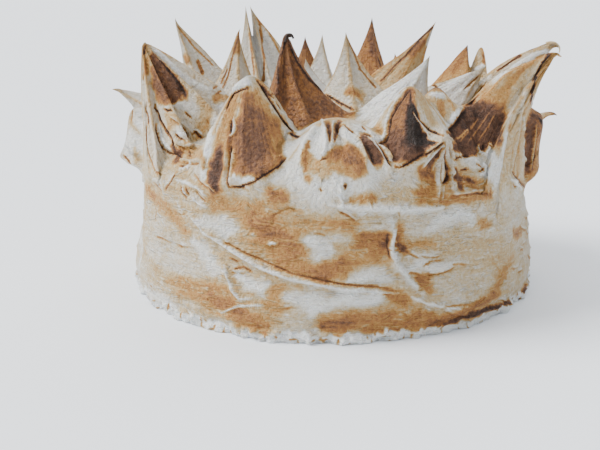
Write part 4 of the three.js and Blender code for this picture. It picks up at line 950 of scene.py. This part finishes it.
def paint(spots, tone, strokes):
    """Lays the strokes over the tones and adds up their relief."""
    high = np.zeros(len(spots))
    shift = np.column_stack([noise(spots, 8.0, seed) + 0.4 * noise(spots, 3.2, seed + 3) for seed in (41, 42, 43)])
    for number, stroke in enumerate(strokes):
        for run in stroke["runs"]:
            places = np.array([spot for _, spot, _ in run])
            widths = np.array([width for *_, width in run])
            near = inside_box(spots, places, widths.max() * 2 + 1)
            drift = 0 if stroke["relief"] or stroke["softness"] < 0.65 else min(0.4 * widths.max(), 2.6)
            best = nearest(spots[near] + drift * shift[near], places)
            width = np.interp(best["part"], np.arange(len(widths)), widths)
            size = 1.5 + widths.max() * 0.9
            low_lying = spots[near] * [1, 1, 2]
            ragged = 0.4 * noise(low_lying, size, 20 + number % 7) + 0.25 * noise(low_lying, size / 2.7, 30 + number % 5)
            share = best["gap"] / width * (1 + ragged * stroke["softness"])
            ends = np.clip(np.minimum(best["share"], 1 - best["share"]) * 6 + 0.4, 0, 1)
            cover = ease((1 + 0.6 * stroke["softness"] - share) / (1.2 * stroke["softness"]))
            cover = cover * np.where(stroke["relief"] != 0, ends, 1)
            tone[near] += (stroke["tone"] - tone[near]) * cover
            bump = np.clip(1 - best["gap"] / (width + 0.8), 0, 1) ** 1.5
            high[near] += LIFT * stroke["relief"] * ends * bump
    return tone, high


def scattered_folds():
    """Small folds all round: each a white ridge with a groove painted dark as shade, and lines beside them that keep
    both sharp.
    """
    chance = np.random.default_rng(FOLD_SEED)
    strokes, beside = [], []
    for count, (top, foot), lengths, slopes, bow, high, wide, groove_shade in FOLDS:
        for _ in range(count):
            bearing, down = chance.uniform(-180, 180), chance.uniform(top, foot)
            length, slope = chance.uniform(*lengths), chance.uniform(*slopes)
            bend, lift = chance.uniform(-bow, bow), chance.uniform(0.6, 1.0) * high
            share = np.linspace(0, 1, FOLD_STEPS)
            heading = np.radians(slope + bend * (share - 0.5))
            stride = length / (FOLD_STEPS - 1)
            radius = np.interp(down, DOWN, RADIUS)
            around = np.degrees(np.cumsum(np.cos(heading)) * stride / radius)
            below = np.cumsum(np.sin(heading)) * stride
            ridge = on_disc(bearing + around, down + below)
            groove = on_disc(bearing + around, down + below + 1.3 * wide)
            spots, lead = drawn_up(np.vstack([ridge, groove]))
            if lead["rise"].max() > FOLD_RISE or (np.abs(np.diff(spots, axis=0)).max(1)[: FOLD_STEPS - 1] > 2 * stride).any():
                continue
            swell = 0.4 + 0.6 * np.sin(share * math.pi)
            run = list(zip(ridge, spots[:FOLD_STEPS], wide * swell))
            dent = list(zip(groove, spots[FOLD_STEPS:], 0.45 * wide * swell))
            strokes.append(dict(tone=0.13, softness=0.5, relief=lift, runs=[run], crisp=True, fine=False))
            # The groove's dark tone is painted shade in the fold.
            strokes.append(dict(tone=groove_shade, softness=0.5, relief=-0.6 * lift, runs=[dent], crisp=True, fine=False))
            beside += [on_disc(bearing + around, down + below + gap * wide) for gap in (-1.3, 2.6)]
    return strokes, beside


def close_bottom(points, spots, faces):
    """Adds the flat bottom: a fan from the middle to the foot's ring."""
    edges, back = edge_table(faces)
    rim = np.unique(edges[np.bincount(back.ravel()) == 1])
    order = rim[np.argsort(np.arctan2(points[rim, 1], points[rim, 0]))]
    middle = len(spots)
    fan = np.column_stack([np.full(len(order), middle), np.roll(order, -1), order])
    return np.vstack([spots, [0, 0, 0]]), np.vstack([faces, fan])


def smooth_line(line, rounds=2):
    """Points of a line with its corners cut off."""
    for _ in range(rounds):
        before, after = line[:-1], line[1:]
        cut = np.stack([0.75 * before + 0.25 * after, 0.25 * before + 0.75 * after], 1).reshape(-1, line.shape[1])
        line = np.vstack([line[:1], cut, line[-1:]])
    return line


def add_curls(spots, faces, fields):
    """Adds the thin curls, each a tapered tube as deep in the picture as the tip it leaves."""
    tips = {peak["name"]: np.array(peak["tip"]) for peak in PEAKS}
    turn = np.arange(CURL_SIDES) / CURL_SIDES * TURN
    for name, tone, line in CURLS:
        depth = (tips[name] - Camera.place) @ Camera.ahead
        line = smooth_line(np.array(line, float))
        middles = np.array([Camera.place + depth * Camera.ray(across, below) for across, below, _ in line])
        along = np.gradient(middles, axis=0)
        across = np.cross(along, Camera.ahead)
        across = across / np.linalg.norm(across, axis=1)[:, None]
        wide = line[:, 2, None, None] * depth / PHOTO_FOCUS
        rings = middles[:, None] + wide * (np.cos(turn)[:, None] * across[:, None] + np.sin(turn)[:, None] * Camera.ahead)
        first, count = len(spots), len(line)
        spots = np.vstack([spots, rings.reshape(-1, 3), middles[:1], middles[-1:]])
        for ring in range(count):
            near = first + ring * CURL_SIDES + np.arange(CURL_SIDES)
            beside = np.roll(near, -1)
            if ring < count - 1:
                faces = np.vstack([faces, np.column_stack([near, near + CURL_SIDES, beside]),
                                   np.column_stack([beside, near + CURL_SIDES, beside + CURL_SIDES])])
            if ring in (0, count - 1):
                cap = np.full(CURL_SIDES, first + count * CURL_SIDES + (ring > 0))
                faces = np.vstack([faces, np.column_stack([near, beside, cap] if ring == 0 else [beside, near, cap])])
        for key, values in fields.items():
            fill = {"tone": tone, "rise": 1.0}.get(key, 0.0)
            missing = np.full((len(spots) - len(values),) + values.shape[1:], fill)
            if len(values) < first:
                missing[: first - len(values)] = 0
            fields[key] = np.concatenate([values, missing])
    return spots, faces, fields


def coat():
    """The coat's final mesh with its tone, rise and streak coordinates."""
    lines = ridge_lines() + [crease_points(line) for *_, line in CREASES]
    rough = refine(*triangulate(lines, 5.0), lambda spots, lead: np.full(len(spots), 2.4), 5)
    canvas = Canvas(*rough)
    strokes = [dict(tone=tone, softness=softness, relief=high, runs=canvas.lay(line),
                    crisp=max(width for *_, width in line) < 3, fine=max(width for *_, width in line) < 2.2)
               for tone, softness, high, line in STROKES]
    folds, beside = scattered_folds()
    strokes = folds + strokes
    thin = [np.array([point for point, *_ in run]) for stroke in strokes if stroke["crisp"] for run in stroke["runs"]]
    points, faces = refine(*triangulate(lines + thin + beside, 5.0), edge_limit(strokes))
    down = np.hypot(points[:, 0], points[:, 1])
    points = np.where((down > DISC_EDGE - 0.05)[:, None], points * (DISC_EDGE / np.maximum(down, 1e-9))[:, None], points)
    spots, lead = drawn_up(points)
    pulled, round_wall = flows(points, spots, lead)
    tone = ridge_tone(base_tone(spots, lead), lead)
    tone, stroke_high = paint(spots, tone, strokes)
    high = relief(points, spots, lead, pulled, round_wall) + stroke_high
    crumb = ease((FOOT_BAND - 1.4 + 2.4 * noise(spots, 6.0, 13) + 1.4 * noise(spots, 2.4, 16) - spots[:, 2]) / 1.0)
    speck = ease((noise(spots, 1.6, 15) - 0.45) / 0.2)
    tone = tone + (0.02 + 0.5 * speck - tone) * crumb
    spots = spots + mesh_normals(spots, faces) * high[:, None]
    spots[:, 2] = np.where(down > DISC_EDGE - 0.05, 0, np.maximum(spots[:, 2], 0.3))
    spots, faces = close_bottom(points, spots, faces)
    fields = dict(tone=tone, rise=lead["rise"], pulled=pulled, round_wall=round_wall)
    return add_curls(spots, faces, fields)


def build_piece(name, spots, faces, fields, material):
    """A smooth-shaded object of a mesh in millimetres, with its fields as attributes."""
    mesh = bpy.data.meshes.new(name)
    mesh.from_pydata((spots * MM).tolist(), [], faces.tolist())
    mesh.shade_smooth()
    for key, values in fields.items():
        kind, slot = ("FLOAT", "value") if values.ndim == 1 else ("FLOAT_VECTOR", "vector")
        padded = np.zeros((len(spots),) + values.shape[1:])
        padded[: len(values)] = values
        mesh.attributes.new(key, kind, "POINT").data.foreach_set(slot, padded.ravel().astype(np.float32))
    mesh.materials.append(material)
    piece = bpy.data.objects.new(name, mesh)
    bpy.context.scene.collection.objects.link(piece)
    return piece


class Nodes:
    """Short ways to add and join shader nodes."""

    def __init__(self, name):
        self.material = bpy.data.materials.new(name)
        self.material.use_nodes = True
        self.tree = self.material.node_tree
        self.tree.nodes.clear()

    def add(self, kind, inputs=None, **settings):
        node = self.tree.nodes.new(kind)
        for key, value in settings.items():
            setattr(node, key, value)
        for key, value in (inputs or {}).items():
            if isinstance(value, bpy.types.NodeSocket):
                self.tree.links.new(value, node.inputs[key])
            else:
                node.inputs[key].default_value = value
        return node

    def math(self, operation, a, b=0.0, clamp=False):
        return self.add("ShaderNodeMath", {0: a, 1: b}, operation=operation, use_clamp=clamp).outputs[0]

    def attribute(self, name, output="Fac"):
        return self.add("ShaderNodeAttribute", attribute_name=name).outputs[output]

    def noise(self, vector, scale, detail=3.0, roughness=0.6):
        inputs = {"Vector": vector, "Scale": scale, "Detail": detail, "Roughness": roughness}
        return self.math("SUBTRACT", self.add("ShaderNodeTexNoise", inputs).outputs["Fac"], 0.5)

    def ramp(self, value, stops):
        node = self.add("ShaderNodeValToRGB", {"Fac": value})
        node.color_ramp.interpolation = "LINEAR"
        elements = node.color_ramp.elements
        while len(elements) < len(stops):
            elements.new(0.5)
        for element, (place, colour) in zip(elements, stops):
            element.position = place
            element.color = (*colour, 1)
        return node.outputs["Color"]


# Colours along the tones, as linear light
TOAST = (
    (0.00, (0.84, 0.85, 0.84)),
    (0.14, (0.65, 0.62, 0.55)),
    (0.30, (0.53, 0.395, 0.215)),
    (0.45, (0.47, 0.250, 0.072)),
    (0.58, (0.345, 0.147, 0.043)),
    (0.72, (0.150, 0.067, 0.033)),
    (0.86, (0.050, 0.021, 0.011)),
    (1.00, (0.013, 0.006, 0.003)),
)


def meringue_material():
    """Whipped egg white: matt, a little translucent, toasted by tone, with streaks, smears and pores; the wall's
    wrinkle ridges are painted paler as a painted highlight.
    """
    nodes = Nodes("toasted_meringue")
    place = nodes.add("ShaderNodeTexCoord").outputs["Object"]
    tone, rise = nodes.attribute("tone"), nodes.attribute("rise")
    on_peak = nodes.math("MULTIPLY", nodes.math("SUBTRACT", rise, 0.06), 6.0, clamp=True)
    on_wall = nodes.math("SUBTRACT", 1.0, on_peak)
    streaks = nodes.noise(nodes.attribute("pulled", "Vector"), 2.6, 5.0)
    smears = nodes.noise(nodes.attribute("round_wall", "Vector"), 0.55, 5.0)
    streaks = nodes.math("MULTIPLY", streaks, on_peak)
    smears = nodes.math("MULTIPLY", smears, on_wall)
    lower = nodes.add("ShaderNodeVectorMath", {0: nodes.attribute("round_wall", "Vector"), 1: (1.0, 1.0, 0.45)},
                      operation="MULTIPLY").outputs[0]
    wrinkles = nodes.add("ShaderNodeTexNoise", {
        "Vector": lower, "Scale": 1.7, "Detail": 2.0, "Roughness": 0.5, "Distortion": 1.4,
    }, noise_type="RIDGED_MULTIFRACTAL").outputs["Fac"]
    wrinkles = nodes.math("MULTIPLY", nodes.math("SUBTRACT", wrinkles, 0.08), on_wall)
    mottle = nodes.noise(place, 220.0, 4.0)
    grain = nodes.noise(place, 620.0, 2.0)
    middling = nodes.math("MULTIPLY", tone, nodes.math("SUBTRACT", 1.08, tone))
    strength = nodes.math("ADD", nodes.math("MULTIPLY", middling, 1.7), 0.1)
    spread = nodes.math("ADD", nodes.math("MULTIPLY", streaks, 0.5), nodes.math("MULTIPLY", smears, 0.6))
    spread = nodes.math("ADD", spread, nodes.math("MULTIPLY", mottle, 0.25))
    spread = nodes.math("ADD", spread, nodes.math("MULTIPLY", grain, 0.6))
    # Wrinkle ridges, raised by the bump below, are painted paler here: a painted highlight.
    spread = nodes.math("SUBTRACT", spread, nodes.math("MULTIPLY", wrinkles, 0.6))
    toast_and_painted_light = nodes.math("ADD", tone, nodes.math("MULTIPLY", spread, strength), clamp=True)
    colour = nodes.ramp(toast_and_painted_light, TOAST)

    cells = nodes.add("ShaderNodeTexVoronoi", {"Vector": place, "Scale": 330.0, "Randomness": 1.0}).outputs["Distance"]
    patches = nodes.noise(place, 60.0, 2.0)
    pit = nodes.math("SUBTRACT", nodes.math("ADD", 0.12, nodes.math("MULTIPLY", patches, 0.4)), cells)
    pit = nodes.math("MULTIPLY", pit, 9.0, clamp=True)
    fine = nodes.noise(place, 900.0, 3.0)
    height = nodes.math("ADD", nodes.math("MULTIPLY", streaks, 1.8), nodes.math("MULTIPLY", smears, 3.8))
    height = nodes.math("ADD", height, nodes.math("MULTIPLY", fine, 0.5))
    height = nodes.math("ADD", height, nodes.math("MULTIPLY", wrinkles, 2.2))
    height = nodes.math("ADD", height, nodes.math("MULTIPLY", grain, 2.1))
    height = nodes.math("ADD", height, nodes.math("MULTIPLY", mottle, 2.2))
    height = nodes.math("SUBTRACT", height, nodes.math("MULTIPLY", pit, 0.8))
    bump = nodes.add("ShaderNodeBump", {"Height": height, "Strength": 1.0, "Distance": MM}).outputs["Normal"]

    shader = nodes.add("ShaderNodeBsdfPrincipled", {
        "Base Color": colour, "Roughness": 0.58, "Normal": bump, "Specular IOR Level": 0.3,
        "Subsurface Weight": 0.2, "Subsurface Radius": (1.0, 0.75, 0.5), "Subsurface Scale": 0.003,
    })
    nodes.add("ShaderNodeOutputMaterial", {"Surface": shader.outputs["BSDF"]})
    return nodes.material


def add_cake():
    spots, faces, fields = coat()
    print("coat triangles", len(faces))
    piece = build_piece("toasted_meringue_coat", spots, faces, fields, meringue_material())
    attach(piece, "root")
    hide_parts("meringue_cake")


def add_floor():
    """A plain pale floor that fills the picture."""
    half = 30.0
    mesh = bpy.data.meshes.new("floor")
    mesh.from_pydata([(-half, -half, 0), (half, -half, 0), (half, half, 0), (-half, half, 0)], [], [(0, 1, 2, 3)])
    nodes = Nodes("pale_floor")
    shader = nodes.add("ShaderNodeBsdfPrincipled", {"Base Color": (0.86, 0.89, 0.93, 1), "Roughness": 0.7})
    nodes.add("ShaderNodeOutputMaterial", {"Surface": shader.outputs["BSDF"]})
    mesh.materials.append(nodes.material)
    floor = bpy.data.objects.new("floor", mesh)
    bpy.context.scene.collection.objects.link(floor)


def add_sun(name, toward, spread, strength, colour):
    """A soft light from far away; toward points at it and spread is its width in degrees."""
    light = bpy.data.lights.new(name, "SUN")
    light.angle = math.radians(spread)
    light.energy = strength
    light.color = colour
    lamp = bpy.data.objects.new(name, light)
    lamp.rotation_euler = Vector(toward).to_track_quat("Z", "Y").to_euler()
    bpy.context.scene.collection.objects.link(lamp)


def add_lights():
    """A wide window from the upper left, a skylight behind, a weak fill from the front and a pale room."""
    add_sun("window", (-1.0, -0.05, 0.9), 36, 5.2, (1.0, 0.99, 0.98))
    add_sun("skylight", (0.1, 0.7, 1.0), 70, 1.8, (0.97, 0.98, 1.0))
    add_sun("fill", (0.1, -0.6, 1.0), 80, 0.85, (1.0, 0.99, 0.98))
    world = bpy.data.worlds.new("pale_room")
    world.use_nodes = True
    background = world.node_tree.nodes["Background"]
    background.inputs["Color"].default_value = (0.9, 0.95, 1.0, 1)
    background.inputs["Strength"].default_value = 0.7
    bpy.context.scene.world = world


def add_camera():
    camera = bpy.data.cameras.new("camera")
    camera.sensor_width = SENSOR
    camera.lens = PHOTO_FOCUS * SENSOR / PHOTO_SIZE[0]
    holder = bpy.data.objects.new("camera", camera)
    holder.location = CAMERA_PLACE
    holder.rotation_euler = (math.radians(90 - CAMERA_DOWN), 0, math.radians(CAMERA_TURN))
    bpy.context.scene.collection.objects.link(holder)
    bpy.context.scene.camera = holder


add_camera()
add_floor()
add_lights()
add_cake()
